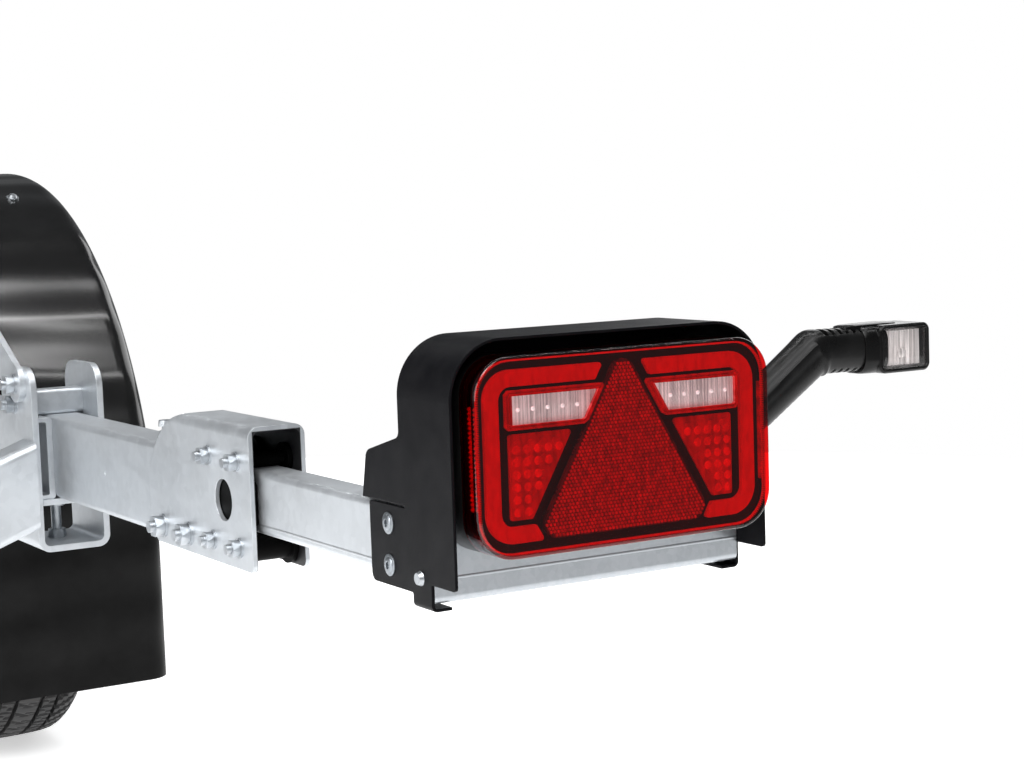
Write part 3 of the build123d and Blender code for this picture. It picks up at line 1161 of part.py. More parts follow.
MEMBER_Y = MEMBER_FRONT - MEMBER_D / 2
MEMBER_TOP_X = SADDLE_IN - SADDLE_T
MEMBER_FALL = tan(radians(MEMBER_DROP))
MEMBER_END_Z = MEMBER_Z - (MEMBER_TOP_X - MEMBER_END) * MEMBER_FALL
with BuildPart() as cross_member:
    drop = radians(MEMBER_DROP)
    beyond = 60.0
    down = Plane(origin=(MEMBER_TOP_X + beyond, MEMBER_Y, MEMBER_Z + beyond * MEMBER_FALL),
                 x_dir=(0, 1, 0), z_dir=(-cos(drop), 0, -sin(drop)))
    add(box_tube(down, MEMBER_D, MEMBER_H, MEMBER_WALL, 8,
                 (MEMBER_TOP_X - MEMBER_END + 2 * beyond) / cos(drop)))
    with BuildSketch(outboard(MEMBER_END, MEMBER_Y, MEMBER_Z)):
        Rectangle(4 * MEMBER_D, 8 * MEMBER_H)
    extrude(amount=MEMBER_TOP_X - MEMBER_END, mode=Mode.INTERSECT)
    with BuildSketch(outboard(MEMBER_END, MEMBER_Y, MEMBER_END_Z)):
        RectangleRounded(FLANGE[0], FLANGE[1], 8)
        with GridLocations(FLANGE_DY, FLANGE_DZ, 2, 2):
            Circle(SPLICE_R, mode=Mode.SUBTRACT)
    extrude(amount=-FLANGE[2])
save(cross_member, "cross_member")

with BuildPart() as support_strut:
    rise = radians(STRUT_RISE)
    along = Plane(origin=(SADDLE_IN - SADDLE_T, *STRUT_BOLT), x_dir=(0, cos(rise), sin(rise)),
                  z_dir=(-1, 0, 0))
    with BuildSketch(along):
        with Locations((STRUT_LENGTH / 2, 0)):
            SlotOverall(STRUT_LENGTH + STRUT_W, STRUT_W)
        Circle(CLAMP_BOLT_R + HOLE_PLAY, mode=Mode.SUBTRACT)
        with Locations((STRUT_LENGTH, 0)):
            Circle(CLAMP_BOLT_R + HOLE_PLAY, mode=Mode.SUBTRACT)
    extrude(amount=STRUT_T)
save(support_strut, "support_strut")
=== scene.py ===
import json
import math

import bmesh
import bpy
from mathutils import Matrix, Vector
from mathutils.bvhtree import BVHTree


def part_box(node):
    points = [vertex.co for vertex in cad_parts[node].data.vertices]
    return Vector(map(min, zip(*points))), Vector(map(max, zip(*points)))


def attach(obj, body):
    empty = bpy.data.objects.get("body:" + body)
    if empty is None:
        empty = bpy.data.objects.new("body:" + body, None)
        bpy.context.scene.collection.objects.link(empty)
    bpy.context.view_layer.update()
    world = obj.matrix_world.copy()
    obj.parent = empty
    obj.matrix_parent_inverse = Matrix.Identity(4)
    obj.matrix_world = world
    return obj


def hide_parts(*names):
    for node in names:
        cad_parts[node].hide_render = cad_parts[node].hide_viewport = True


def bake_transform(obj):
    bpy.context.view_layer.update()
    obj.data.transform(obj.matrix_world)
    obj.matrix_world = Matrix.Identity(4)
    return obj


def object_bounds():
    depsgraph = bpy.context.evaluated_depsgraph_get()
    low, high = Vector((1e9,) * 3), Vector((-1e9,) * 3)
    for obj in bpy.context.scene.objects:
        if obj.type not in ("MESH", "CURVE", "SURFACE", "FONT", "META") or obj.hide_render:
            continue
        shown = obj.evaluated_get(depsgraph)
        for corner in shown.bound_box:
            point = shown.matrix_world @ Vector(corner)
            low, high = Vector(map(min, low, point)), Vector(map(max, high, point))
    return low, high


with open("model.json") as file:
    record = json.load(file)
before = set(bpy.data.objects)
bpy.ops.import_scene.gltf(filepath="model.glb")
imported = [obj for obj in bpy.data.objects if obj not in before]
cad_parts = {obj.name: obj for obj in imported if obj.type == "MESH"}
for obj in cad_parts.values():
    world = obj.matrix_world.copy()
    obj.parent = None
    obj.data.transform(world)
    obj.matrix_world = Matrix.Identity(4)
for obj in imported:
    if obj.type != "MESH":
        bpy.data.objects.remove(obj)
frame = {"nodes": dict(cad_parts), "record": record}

# Rear corner of a boat trailer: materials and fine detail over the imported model.
# Every length is in metres; mm() turns millimetres into metres.
CAD_BOX = [list(corner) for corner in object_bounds()]
NODES = frame["nodes"]


def mm(*values):
    """Millimetres to metres: one number, or a vector of three."""
    return values[0] / 1000 if len(values) == 1 else Vector(values) / 1000


# ---------------------------------------------------------------- shader graphs
class Graph:
    """A node material under construction, with its Principled shader."""

    def __init__(self, name, **values):
        self.mat = bpy.data.materials.new(name)
        self.mat.use_nodes = True
        self.tree = self.mat.node_tree
        self.shader = self.tree.nodes["Principled BSDF"]
        self.place = self.new("ShaderNodeTexCoord").outputs["Object"]
        for key, value in values.items():
            self.shader.inputs[key.replace("_", " ")].default_value = value

    def new(self, kind, values=None, **props):
        node = self.tree.nodes.new(kind)
        for key, value in props.items():
            setattr(node, key, value)
        for key, value in (values or {}).items():
            if isinstance(value, bpy.types.NodeSocket):
                self.tree.links.new(value, node.inputs[key])
            else:
                node.inputs[key].default_value = value
        return node

    def noise(self, scale, detail=4.0, rough=0.55, stretch=None):
        place = self.stretched(stretch) if stretch else self.place
        made = self.new("ShaderNodeTexNoise",
                        {"Vector": place, "Scale": scale, "Detail": detail, "Roughness": rough})
        return made.outputs["Fac"]

    def stretched(self, scale):
        made = self.new("ShaderNodeMapping", {"Vector": self.place, "Scale": scale})
        return made.outputs["Vector"]

    def cells(self, scale, output="Color"):
        made = self.new("ShaderNodeTexVoronoi", {"Vector": self.place, "Scale": scale})
        return made.outputs[output]

    def math(self, operation, a, b=0.0):
        made = self.new("ShaderNodeMath", {0: a, 1: b}, operation=operation)
        return made.outputs[0]

    def remap(self, value, low, high, to_low, to_high):
        made = self.new("ShaderNodeMapRange", {"Value": value, "From Min": low, "From Max": high,
                                               "To Min": to_low, "To Max": to_high})
        return made.outputs["Result"]

    def blend(self, factor, first, second):
        """Colour that goes from first to second as the factor rises."""
        made = self.new("ShaderNodeMix", data_type="RGBA")
        for key, value in ((0, factor), (6, first), (7, second)):
            if isinstance(value, bpy.types.NodeSocket):
                self.tree.links.new(value, made.inputs[key])
            else:
                made.inputs[key].default_value = value
        return made.outputs[2]

    def bump(self, height, strength, depth, under=None):
        values = {"Height": height, "Strength": strength, "Distance": depth}
        if under:
            values["Normal"] = under
        return self.new("ShaderNodeBump", values).outputs["Normal"]

    def worn_edge(self, radius):
        """Normal that rounds off sharp edges by this radius."""
        return self.new("ShaderNodeBevel", {"Radius": radius}, samples=8).outputs["Normal"]

    def set(self, **sockets):
        for key, value in sockets.items():
            self.tree.links.new(value, self.shader.inputs[key.replace("_", " ")])
        return self

    def axis(self, name):
        return self.new("ShaderNodeSeparateXYZ", {0: self.place}).outputs[name]


def grey(value, blue=0.0):
    """Grey of this value, a little towards blue."""
    return (value - blue, value, value + blue, 1.0)


GRIME = 0.12  # how far dirt darkens galvanised steel
TUBE_SEAM = 0.55  # how dark a rolled tube's weld seam is


def galvanised(name, tone=0.56, spangle=150.0, seam=None, painted_shade_box=None):
    """Zinc-dipped steel: faint spangle cells, cloudy roughness, a little grime and a tube seam.

    Within the box given by its low and high corner, the steel is painted flat black and non-metallic,
    as painted shade for a dark hollow.
    """
    g = Graph(name, Metallic=0.82)
    cell = g.new("ShaderNodeSeparateColor", {0: g.cells(spangle)}).outputs[0]
    cloud = g.noise(9.0, 5.0)
    fleck = g.noise(160.0, 3.0)
    base = g.blend(cell, grey(tone - 0.03, 0.026), grey(tone + 0.03, 0.026))
    base = g.blend(g.remap(cloud, 0.35, 0.7, 0.0, 0.45), base, grey(tone + 0.08, 0.032))
    base = g.blend(g.remap(g.noise(22.0, 4.0, 0.6), 0.50, 0.80, 0.0, GRIME), base,
                   (0.20, 0.20, 0.19, 1.0))
    rough = g.math("ADD", g.remap(cell, 0, 1, 0.36, 0.43), g.remap(cloud, 0.3, 0.7, 0.0, 0.10))
    low = g.bump(g.noise(14.0, 1.0), 0.10, 0.0012, g.worn_edge(0.0009))
    if seam is not None:
        off = g.math("ABSOLUTE", g.math("SUBTRACT", g.axis("Z"), seam))
        line = g.remap(off, 0.0002, 0.0011, 1.0, 0.0)
        base = g.blend(g.math("MULTIPLY", line, TUBE_SEAM), base, (0.22, 0.23, 0.24, 1.0))
        low = g.bump(line, 0.4, 0.0006, low)
    # Painted shade: inside the given box the steel turns flat black, where the hollow only lies in
    # shade.
    if painted_shade_box:
        within = 1.0
        for axis, start, end in zip("XYZ", *painted_shade_box):
            place = g.axis(axis)
            within = g.math("MULTIPLY", g.math("GREATER_THAN", place, start), within)
            within = g.math("MULTIPLY", g.math("LESS_THAN", place, end), within)
        base = g.blend(within, base, (0.008, 0.008, 0.009, 1.0))
        g.set(Metallic=g.remap(within, 0.0, 1.0, 0.82, 0.0))
    return g.set(Base_Color=base, Roughness=rough, Normal=g.bump(fleck, 0.02, 0.0003, low)).mat


def plated(name, tone=0.50, painted_glow=0.0):
    """Zinc plate on fasteners, which can also take a painted white glow, as the diode domes do."""
    g = Graph(name, Metallic=0.95, Emission_Strength=painted_glow)
    cloud = g.noise(120.0, 4.0)
    base = g.blend(g.remap(cloud, 0.35, 0.7, 0, 1), grey(tone - 0.08, 0.02), grey(tone + 0.08, 0.03))
    # Painted glow: white emission makes a surface look lit.
    g.shader.inputs["Emission Color"].default_value = grey(1.0)
    return g.set(Base_Color=base, Roughness=g.remap(cloud, 0.3, 0.7, 0.30, 0.44),
                 Normal=g.bump(g.noise(700.0, 2.0), 0.03, 0.0001)).mat


def powder(name):
    """Fine-textured black powder coat."""
    g = Graph(name, Specular_IOR_Level=0.06)
    base = g.blend(g.remap(g.noise(60.0, 5.0), 0.3, 0.7, 0, 1), (0.003, 0.003, 0.004, 1),
                   (0.007, 0.007, 0.008, 1))
    grain = g.noise(1500.0, 3.0, 0.6)
    return g.set(Base_Color=base, Roughness=g.remap(g.noise(14.0, 4.0), 0.3, 0.7, 0.34, 0.46),
                 Normal=g.bump(grain, 0.35, 0.0003, g.worn_edge(0.0010))).mat


def moulded(name, tone=0.012, rough=0.34, shine=0.34):
    """Moulded black plastic with a fine grain."""
    g = Graph(name, Specular_IOR_Level=shine)
    base = g.blend(g.remap(g.noise(24.0, 6.0), 0.3, 0.7, 0, 1), grey(tone * 0.5), grey(tone * 0.9))
    scuffs = g.noise(12.0, 4.0, 0.6)
    return g.set(Base_Color=base, Roughness=g.remap(scuffs, 0.35, 0.7, rough - 0.04, rough + 0.05),
                 Normal=g.bump(g.noise(420.0, 3.0), 0.08, 0.0003, g.worn_edge(0.0006))).mat


def rubbery(name):
    """Black rubber with a cloudy sheen."""
    g = Graph(name, Specular_IOR_Level=0.24)
    cloud = g.noise(45.0, 6.0, 0.65)
    base = g.blend(g.remap(cloud, 0.3, 0.7, 0, 1), grey(0.0024), grey(0.006))
    return g.set(Base_Color=base, Roughness=g.remap(cloud, 0.3, 0.7, 0.24, 0.42),
                 Normal=g.bump(g.noise(520.0, 3.0), 0.14, 0.0003, g.worn_edge(0.0005))).mat


def guard_moulding(name, hub):
    """Glossy moulded guard with slow waves across it, dull and dusty on the flap below the hub."""
    g = Graph(name)
    dust = g.noise(24.0, 6.0)
    base = g.blend(g.remap(dust, 0.3, 0.7, 0, 1), grey(0.003), grey(0.007))
    turn = g.math("ARCTAN2", g.math("SUBTRACT", g.axis("Z"), hub.z),
                  g.math("SUBTRACT", g.axis("Y"), hub.y))
    drift = g.math("MULTIPLY", g.noise(3.0, 1.0), 5.0)
    wave = g.math("SINE", g.math("ADD", g.math("MULTIPLY", turn, GUARD_WAVES), drift))
    shine = g.remap(g.axis("Z"), -0.16, 0.0, 0.10, 0.55)
    normal = g.bump(wave, 0.42, 0.0022, g.worn_edge(0.002))
    return g.set(Base_Color=base, Specular_IOR_Level=shine,
                 Roughness=g.remap(g.axis("Z"), -0.16, 0.0, 0.40, 0.18),
                 Normal=g.bump(g.noise(260.0, 3.0), 0.05, 0.0003, normal)).mat


def tread_rubber(name):
    """Road-worn tyre rubber, paler where dust settles."""
    g = Graph(name, Specular_IOR_Level=0.4)
    dust = g.noise(18.0, 7.0, 0.7)
    base = g.blend(g.remap(dust, 0.4, 0.75, 0, 0.6), (0.012, 0.012, 0.013, 1),
                   (0.055, 0.053, 0.050, 1))
    return g.set(Base_Color=base, Roughness=g.remap(dust, 0.3, 0.7, 0.48, 0.66),
                 Normal=g.bump(g.noise(700.0, 4.0), 0.25, 0.0004)).mat


def cast(name):
    """Raw machined casting."""
    g = Graph(name, Metallic=0.75)
    cloud = g.noise(55.0, 6.0, 0.65)
    base = g.blend(g.remap(cloud, 0.3, 0.7, 0, 1), grey(0.112), grey(0.224))
    return g.set(Base_Color=base, Roughness=g.remap(cloud, 0.3, 0.7, 0.42, 0.6),
                 Normal=g.bump(g.noise(380.0, 4.0), 0.3, 0.0006, g.worn_edge(0.0008))).mat


def wheel_paint(name):
    """Silver wheel paint with metal flake, clear coat and brake dust."""
    g = Graph(name, Metallic=0.55, Coat_Weight=0.3, Coat_Roughness=0.15)
    flake = g.cells(1400.0, output="Distance")
    dust = g.noise(20.0, 6.0, 0.7)
    base = g.blend(g.remap(flake, 0, 0.6, 0, 1), (0.52, 0.54, 0.56, 1), (0.42, 0.44, 0.46, 1))
    base = g.blend(g.remap(dust, 0.55, 0.75, 0, 0.3), base, (0.22, 0.20, 0.18, 1))
    return g.set(Base_Color=base, Roughness=g.remap(dust, 0.3, 0.7, 0.26, 0.44),
                 Normal=g.bump(g.noise(260.0, 2.0), 0.05, 0.0003, g.worn_edge(0.0008))).mat


def red_optic(name, low, high, rough=0.22, scale=260.0, relief=0.3, painted_glow=0.0):
    """Red moulded optic: fine flutes with a painted bright and dark side (painted highlight and
    shade), and an optional painted glow.
    """
    g = Graph(name, Specular_IOR_Level=0.6)
    flute = g.noise(scale, 2.0, stretch=(1.0, 0.2, 0.35))
    # Painted highlight and shade: the flute noise sets bright and dark flute faces in the colour.
    base = g.blend(g.remap(flute, 0.35, 0.65, 0, 1), low, high)
    # Painted glow: emission in the optic's own red stands in for the light that brightens it.
    if painted_glow:
        g.shader.inputs["Emission Strength"].default_value = painted_glow
        g.set(Emission_Color=base)
    return g.set(Base_Color=base, Roughness=g.remap(flute, 0.3, 0.7, rough, rough + 0.14),
                 Normal=g.bump(flute, relief, 0.0005)).mat


def thin_glass(g, tint, rough, waves):
    """Clear shell that lets light straight through and mirrors at a slant."""
    clear = g.new("ShaderNodeBsdfTransparent", {"Color": tint})
    gloss = g.new("ShaderNodeBsdfGlossy", {"Color": (1, 1, 1, 1), "Roughness": rough,
                                           "Normal": waves})
    slant = g.new("ShaderNodeLayerWeight", {"Blend": 0.5}).outputs["Facing"]
    mirrored = g.math("ADD", g.math("MULTIPLY", g.math("POWER", slant, 5.0), 0.9), 0.035)
    mixed = g.new("ShaderNodeMixShader", {0: mirrored, 1: clear.outputs[0], 2: gloss.outputs[0]})
    g.tree.links.new(mixed.outputs[0], g.tree.nodes["Material Output"].inputs["Surface"])
    g.set(Base_Color=tint)
    return g.mat


def clear_glaze(name, tint, scale=90.0):
    """Clear moulding with faint flow waves."""
    g = Graph(name)
    wave = g.noise(scale, 2.0)
    base = g.blend(wave, tint, (1.0, 1.0, 1.0, 1.0))
    return thin_glass(g, base, g.remap(wave, 0.3, 0.7, 0.04, 0.12), g.bump(wave, 0.02, 0.0003))


TYRE_LOW, TYRE_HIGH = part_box("tyre")
WHEEL = Vector([round(value, 4) for value in (TYRE_LOW + TYRE_HIGH) / 2])
GUARD_WAVES = 40.0  # ripples round a full turn of the mudguard
LENS_LOW, LENS_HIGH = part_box("lamp_lens")
# The lamp's face in millimetres: its centre, its size, and the Y of its front.
LAMP_X = round((LENS_LOW.x + LENS_HIGH.x) * 500, 2)
LAMP_Z = round((LENS_LOW.z + LENS_HIGH.z) * 500, 2)
LENS_W = round((LENS_HIGH.x - LENS_LOW.x) * 1000, 2)
LENS_H = round((LENS_HIGH.z - LENS_LOW.z) * 1000, 2)
LENS_FACE = round(LENS_LOW.y * 1000, 2)
LENS_CORNER = 27.0
# Each reversing window, in millimetres from the lamp's middle, and its slanted inner end.
WINDOW_LOW, WINDOW_TOP, WINDOW_OUTER, WINDOW_INNER = 94.0, 113.2, 90.0, 21.5
WINDOW_SLOPE = 0.577  # the triangle leans 30 degrees
WINDOW_MITRE = 1.155  # how far a margin square to that slant reaches along X


def lens_shell(name):
    """Red outer lens, clear over the two reversing windows."""
    g = Graph(name)
    side = g.math("ABSOLUTE", g.math("SUBTRACT", g.axis("X"), mm(LAMP_X)))
    height = g.axis("Z")
    slant = g.math("MULTIPLY_ADD", height, -WINDOW_SLOPE)
    slant.node.inputs[2].default_value = mm(WINDOW_INNER + WINDOW_TOP * WINDOW_SLOPE)
    inside = g.math("MULTIPLY", g.math("GREATER_THAN", side, slant),
                    g.math("LESS_THAN", side, mm(WINDOW_OUTER)))
    inside = g.math("MULTIPLY", inside, g.math("GREATER_THAN", height, mm(WINDOW_LOW)))
    inside = g.math("MULTIPLY", inside, g.math("LESS_THAN", height, mm(WINDOW_TOP)))
    tint = g.blend(inside, (0.80, 0.026, 0.028, 1), (0.97, 0.92, 0.92, 1))
    stipple = g.noise(140.0, 2.0)
    return thin_glass(g, tint, g.remap(stipple, 0.3, 0.7, 0.03, 0.07),
                      g.bump(g.noise(12.0, 1.0), 0.02, 0.004))


LOOK = {
    "galvanised": galvanised("galvanised_steel"),
    "zinc": plated("zinc_plate"),
    "black_steel": powder("black_powder_coat"),
    "black_plastic": moulded("black_moulding"),
    "nylon": moulded("black_nylon", tone=0.002, rough=0.50, shine=0.04),
    "red_lens": lens_shell("red_lens_shell"),
    # Painted glow and painted bright and dark flutes on the red guide and cluster optics.
    "red_guide": red_optic("red_light_guide", (0.74, 0.020, 0.020, 1), (0.92, 0.040, 0.040, 1),
                           relief=0.05, painted_glow=0.24),
    "red_cluster": red_optic("red_cluster", (0.46, 0.010, 0.006, 1), (0.80, 0.050, 0.030, 1),
                             scale=190.0, relief=0.4, painted_glow=0.20),
    "window": clear_glaze("clear_window", (0.97, 0.95, 0.95, 1)),
    # The diode domes get a painted white glow.
    "led": plated("led_dome", tone=0.90, painted_glow=0.5),
    "board": moulded("circuit_board", tone=0.03, rough=0.3),
    "rubber": rubbery("black_rubber"),
    "tyre": tread_rubber("tyre_rubber"),
    "amber": clear_glaze("marker_window", (0.98, 0.97, 0.96, 1), scale=40.0),
    "cast": cast("machined_casting"),
    "rim": wheel_paint("silver_wheel_paint"),
}
SLOT_OF = {row["node"]: row["material_slot"] for row in frame["record"]["subparts"]}


def dress(obj, look):
    obj.data.materials.clear()
    obj.data.materials.append(look)


def smooth(obj, degrees=32.0):
    """Smooth shading that keeps edges sharper than this angle."""
    for face in obj.data.polygons:
        face.use_smooth = True
    obj.data.set_sharp_from_angle(angle=math.radians(degrees))


OWN_LOOK = {
    "mudguard": guard_moulding("mudguard_moulding", WHEEL),
    "arm_tube": galvanised("seamed_arm_tube", tone=0.60, seam=mm(-7.0)),
    # Painted shade: the bracket's inner faces and the insides of its holes are painted black where its
    # hollow is dark.
    "slide_bracket": galvanised("bracket_painted_inner_shade", tone=0.58,
                                painted_shade_box=(mm(-0.5, -1600, -60), mm(40.5, -1470.5, 66.5))),
    "triangle_reflector": red_optic("triangle_bed", (0.07, 0.0, 0.001, 1), (0.15, 0.002, 0.003, 1)),
    "cross_tube": galvanised("seamed_cross_tube", tone=0.47, spangle=260.0, seam=mm(-9.0)),
}
for node, obj in NODES.items():
    dress(obj, OWN_LOOK.get(node) or LOOK[SLOT_OF[node]])


# ---------------------------------------------------------------- mesh helpers
def piece(name, body, slot, build, look=None, angle=32.0, replaced=()):
    """A mesh object made by build(bm), with a slot's finish, which rides on a body if one is named."""
    bm = bmesh.new()
    build(bm)
    bmesh.ops.recalc_face_normals(bm, faces=bm.faces)
    mesh = bpy.data.meshes.new(name)
    bm.to_mesh(mesh)
    bm.free()
    obj = bpy.data.objects.new(name, mesh)
    bpy.context.scene.collection.objects.link(obj)
    dress(obj, look or LOOK[slot])
    smooth(obj, angle)
    if body:
        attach(obj, body)
    if replaced:
        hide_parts(*replaced)
    return obj


def loft(bm, rings, cap=True, closed=False):
    """Skin between rings of points, each ring with the same number of points."""
    rows = [[bm.verts.new(p) for p in ring] for ring in rings]
    count = len(rows[0])
    pairs = list(zip(rows, rows[1:])) + ([(rows[-1], rows[0])] if closed else [])
    for low, high in pairs:
        for i in range(count):
            j = (i + 1) % count
            bm.faces.new((low[i], low[j], high[j], high[i]))
    if cap and not closed:
        bm.faces.new(rows[0])
        bm.faces.new(rows[-1][::-1])
    return rows


def rounded_rect(width, height, radius, arc_steps=8, inset=0.0):
    """Points of a rounded rectangle about the origin, in millimetres, anticlockwise."""
    half_w, half_h, r = width / 2 - inset, height / 2 - inset, max(radius - inset, 0.5)
    points = []
    for cx, cz, start in ((half_w - r, half_h - r, 0), (-half_w + r, half_h - r, 90),
                          (-half_w + r, -half_h + r, 180), (half_w - r, -half_h + r, 270)):
        for step in range(arc_steps + 1):
            turn = math.radians(start + 90 * step / arc_steps)
            points.append((cx + r * math.cos(turn), cz + r * math.sin(turn)))
    return points


def spread(points, pitch):
    """Points at even spacing along a closed outline, with the outward normal of each."""
    lengths = [math.dist(a, b) for a, b in zip(points, points[1:] + points[:1])]
    total = sum(lengths)
    count = int(total / pitch)
    found, edge, walked = [], 0, 0.0
    for step in range(count):
        target = total * step / count
        while walked + lengths[edge] < target:
            walked += lengths[edge]
            edge += 1
        a, b = points[edge], points[(edge + 1) % len(points)]
        part = (target - walked) / lengths[edge]
        along = ((b[0] - a[0]) / lengths[edge], (b[1] - a[1]) / lengths[edge])
        found.append(((a[0] + (b[0] - a[0]) * part, a[1] + (b[1] - a[1]) * part),
                      (along[1], -along[0])))
    return found


def dome(bm, centre, radius, height, forward, side, up, rings=4, around=12):
    """Low dome that stands on a disc: centre in metres, the axes unit vectors."""
    rows = []
    for ring in range(rings):
        turn = math.pi / 2 * ring / rings
        rows.append([centre + forward * height * math.sin(turn)
                     + (side * math.cos(a) + up * math.sin(a)) * radius * math.cos(turn)
                     for a in (2 * math.pi * k / around for k in range(around))])
    made = loft(bm, rows, cap=False)
    tip = bm.verts.new(centre + forward * height)
    for k in range(around):
        bm.faces.new((made[-1][k], made[-1][(k + 1) % around], tip))
    bm.faces.new(made[0][::-1])


REAR, RIGHT, UP = Vector((0, -1, 0)), Vector((1, 0, 0)), Vector((0, 0, 1))


# ---------------------------------------------------------------- rear lamp
def on_face(x, z, y):
    """Point at x, z from the lamp's centre, at height y on the frame's Y axis, in millimetres."""
    return mm(LAMP_X + x, y, LAMP_Z + z)


EDGE_INSET, EDGE_PITCH, EDGE_TIP = 2.7, 1.5, 0.15
EDGE_BACK = ((-0.65, 0.0), (0.65, 0.0), (0.65, -1.1), (-0.65, -1.1))  # along the edge, outward


def edge_prisms(bm):
    """Fine serrated outline just behind the edge of the lens, given a painted glow by its finish."""
    outline = rounded_rect(LENS_W, LENS_H, LENS_CORNER, inset=EDGE_INSET)
    for (x, z), (nx, nz) in spread(outline, EDGE_PITCH):
        tx, tz = -nz, nx
        low, high = ([bm.verts.new(on_face(x + tx * s * narrow + nx * d, z + tz * s * narrow + nz * d,
                                           LENS_FACE + depth)) for s, d in EDGE_BACK]
                     for narrow, depth in ((1.0, 5.4), (EDGE_TIP, 2.7)))
        bm.faces.new(low)
        bm.faces.new(high[::-1])
        for k in range(4):
            bm.faces.new((low[k], low[(k + 1) % 4], high[(k + 1) % 4], high[k]))


piece("lens_edge_prisms", "arm", "red_guide", edge_prisms,
      look=red_optic("red_edge_prisms", (0.80, 0.02, 0.02, 1), (0.95, 0.10, 0.09, 1), relief=0.02,
                     painted_glow=0.18), angle=20)


CELL_PITCH, CELL_REACH = 2.8, 0.46
CELL_LOW, CELL_HIGH, CELL_TIP = 0.25, 0.95, 0.15  # heights over the triangle's bed


def triangle_prisms(bm):
    """Retro-reflecting honeycomb: cube-corner cells all over the warning triangle."""
    low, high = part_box("triangle_reflector")
    reflector = NODES["triangle_reflector"].data
    bed = BVHTree.FromPolygons([v.co for v in reflector.vertices],
                               [p.vertices for p in reflector.polygons])
    face = low.y * 1000
    turns = [math.radians(30 + 60 * k) for k in range(6)]
    row = 0
    z = low.z * 1000 + 2.0
    while z < high.z * 1000:
        x = low.x * 1000 + (CELL_PITCH / 2 if row % 2 else 0.0)
        while x < high.x * 1000:
            rim = [(x + CELL_PITCH * CELL_REACH * math.cos(turn),
                    z + CELL_PITCH * CELL_REACH * math.sin(turn)) for turn in turns]
            if all(bed.ray_cast(mm(cx, face - 20.0, cz), -REAR)[0] for cx, cz in rim):
                tip = bm.verts.new(mm(x, face - CELL_TIP, z))
                ring = [bm.verts.new(mm(cx, face - (CELL_HIGH if k % 2 else CELL_LOW), cz))
                        for k, (cx, cz) in enumerate(rim)]
                for k in range(6):
                    bm.faces.new((ring[k], ring[(k + 1) % 6], tip))
            x += CELL_PITCH
        z += CELL_PITCH * math.sqrt(3) / 2
        row += 1


# Reflex prisms: painted bright and dark faces and a painted glow.
REFLEX = red_optic("red_reflex_prisms", (0.40, 0.006, 0.008, 1), (0.95, 0.06, 0.06, 1),
                   rough=0.14, scale=420.0, relief=0.15, painted_glow=0.15)
piece("triangle_prisms", "arm", "red_guide", triangle_prisms, look=REFLEX, angle=5)


DOME_PITCH, DOME_R, DOME_HEIGHT = 8.2, 3.0, 1.3
DOME_OUTER, DOME_INNER, DOME_TOP = 84.5, 45.0, 88.0  # from the lamp's middle, and the rows' top


def cluster_domes(bm):
    """Lensed domes over each stop and tail cluster, in rows that end at its slanted side."""
    low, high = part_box("stop_lenses")
    face = low.y * 1000
    z = low.z * 1000 + 5.2
    while z < high.z * 1000 - 3.5:
        inner = DOME_INNER + (DOME_TOP - z) * WINDOW_SLOPE
        x = DOME_OUTER
        while x > inner:
            for way in (-1, 1):
                dome(bm, mm(LAMP_X + way * x, face + 0.1, z), mm(DOME_R), mm(DOME_HEIGHT),
                     REAR, RIGHT, UP)
            x -= DOME_PITCH
        z += DOME_PITCH


# The cluster domes carry a painted glow.
piece("cluster_domes", "arm", "red_cluster", cluster_domes, angle=50,
      look=red_optic("red_dome", (0.62, 0.030, 0.016, 1), (0.95, 0.11, 0.06, 1), relief=0.05,
                     painted_glow=0.40))


def window_outline(grow, depth, way):
    """Corners of one reversing window at this depth, grown by a margin, with clipped corners."""
    slant = grow * WINDOW_MITRE
    low, top = WINDOW_LOW - grow, WINDOW_TOP + grow
    outer = WINDOW_OUTER + grow
    inner_top = WINDOW_INNER - slant - grow * WINDOW_SLOPE
    inner_low = inner_top + (top - low) * WINDOW_SLOPE
    clip = 1.2 + grow * 0.4
    corners = [(outer, low + clip), (outer, top - clip), (outer - clip, top),
               (inner_top + clip, top), (inner_top + clip * 0.4, top - clip * 0.8),
               (inner_low - clip * 0.4, low + clip * 0.8), (inner_low + clip, low),
               (outer - clip, low)]
    return [mm(LAMP_X + way * x, depth, z) for x, z in corners]


BEZEL = ((3.4, 5.6), (3.4, 3.4), (2.9, 3.0), (2.3, 3.0), (1.9, 4.8), (1.1, 4.8), (0.8, 3.0),
         (0.2, 3.0), (0.0, 5.4))  # margin round the window, depth behind the lens's face
PANE = ((-0.1, 3.7), (-0.1, 3.4), (-0.6, 3.2))


def window_bezels(bm):
    """Raised red frame round each reversing window."""
    for way in (-1, 1):
        loft(bm, [window_outline(grow, LENS_FACE + depth, way) for grow, depth in BEZEL],
             cap=False)


def window_panes(bm):
    """Clear pane in each frame, with a softened rim."""
    for way in (-1, 1):
        loft(bm, [window_outline(grow, LENS_FACE + depth, way) for grow, depth in PANE])


DIODES, DIODE_PITCH, DIODE_OUTER = 5, 11.4, 83.0


def window_diodes(bm):
    """Diode domes in a row behind each reversing window."""
    z = (WINDOW_LOW + WINDOW_TOP) / 2
    for way in (-1, 1):
        for step in range(DIODES):
            x = LAMP_X + way * (DIODE_OUTER - step * DIODE_PITCH)
            dome(bm, mm(x, LENS_FACE + 5.0, z), mm(1.5), mm(1.2), REAR, RIGHT, UP)


TRAY_FLUTES, TRAY_MARGIN = 60, 0.4


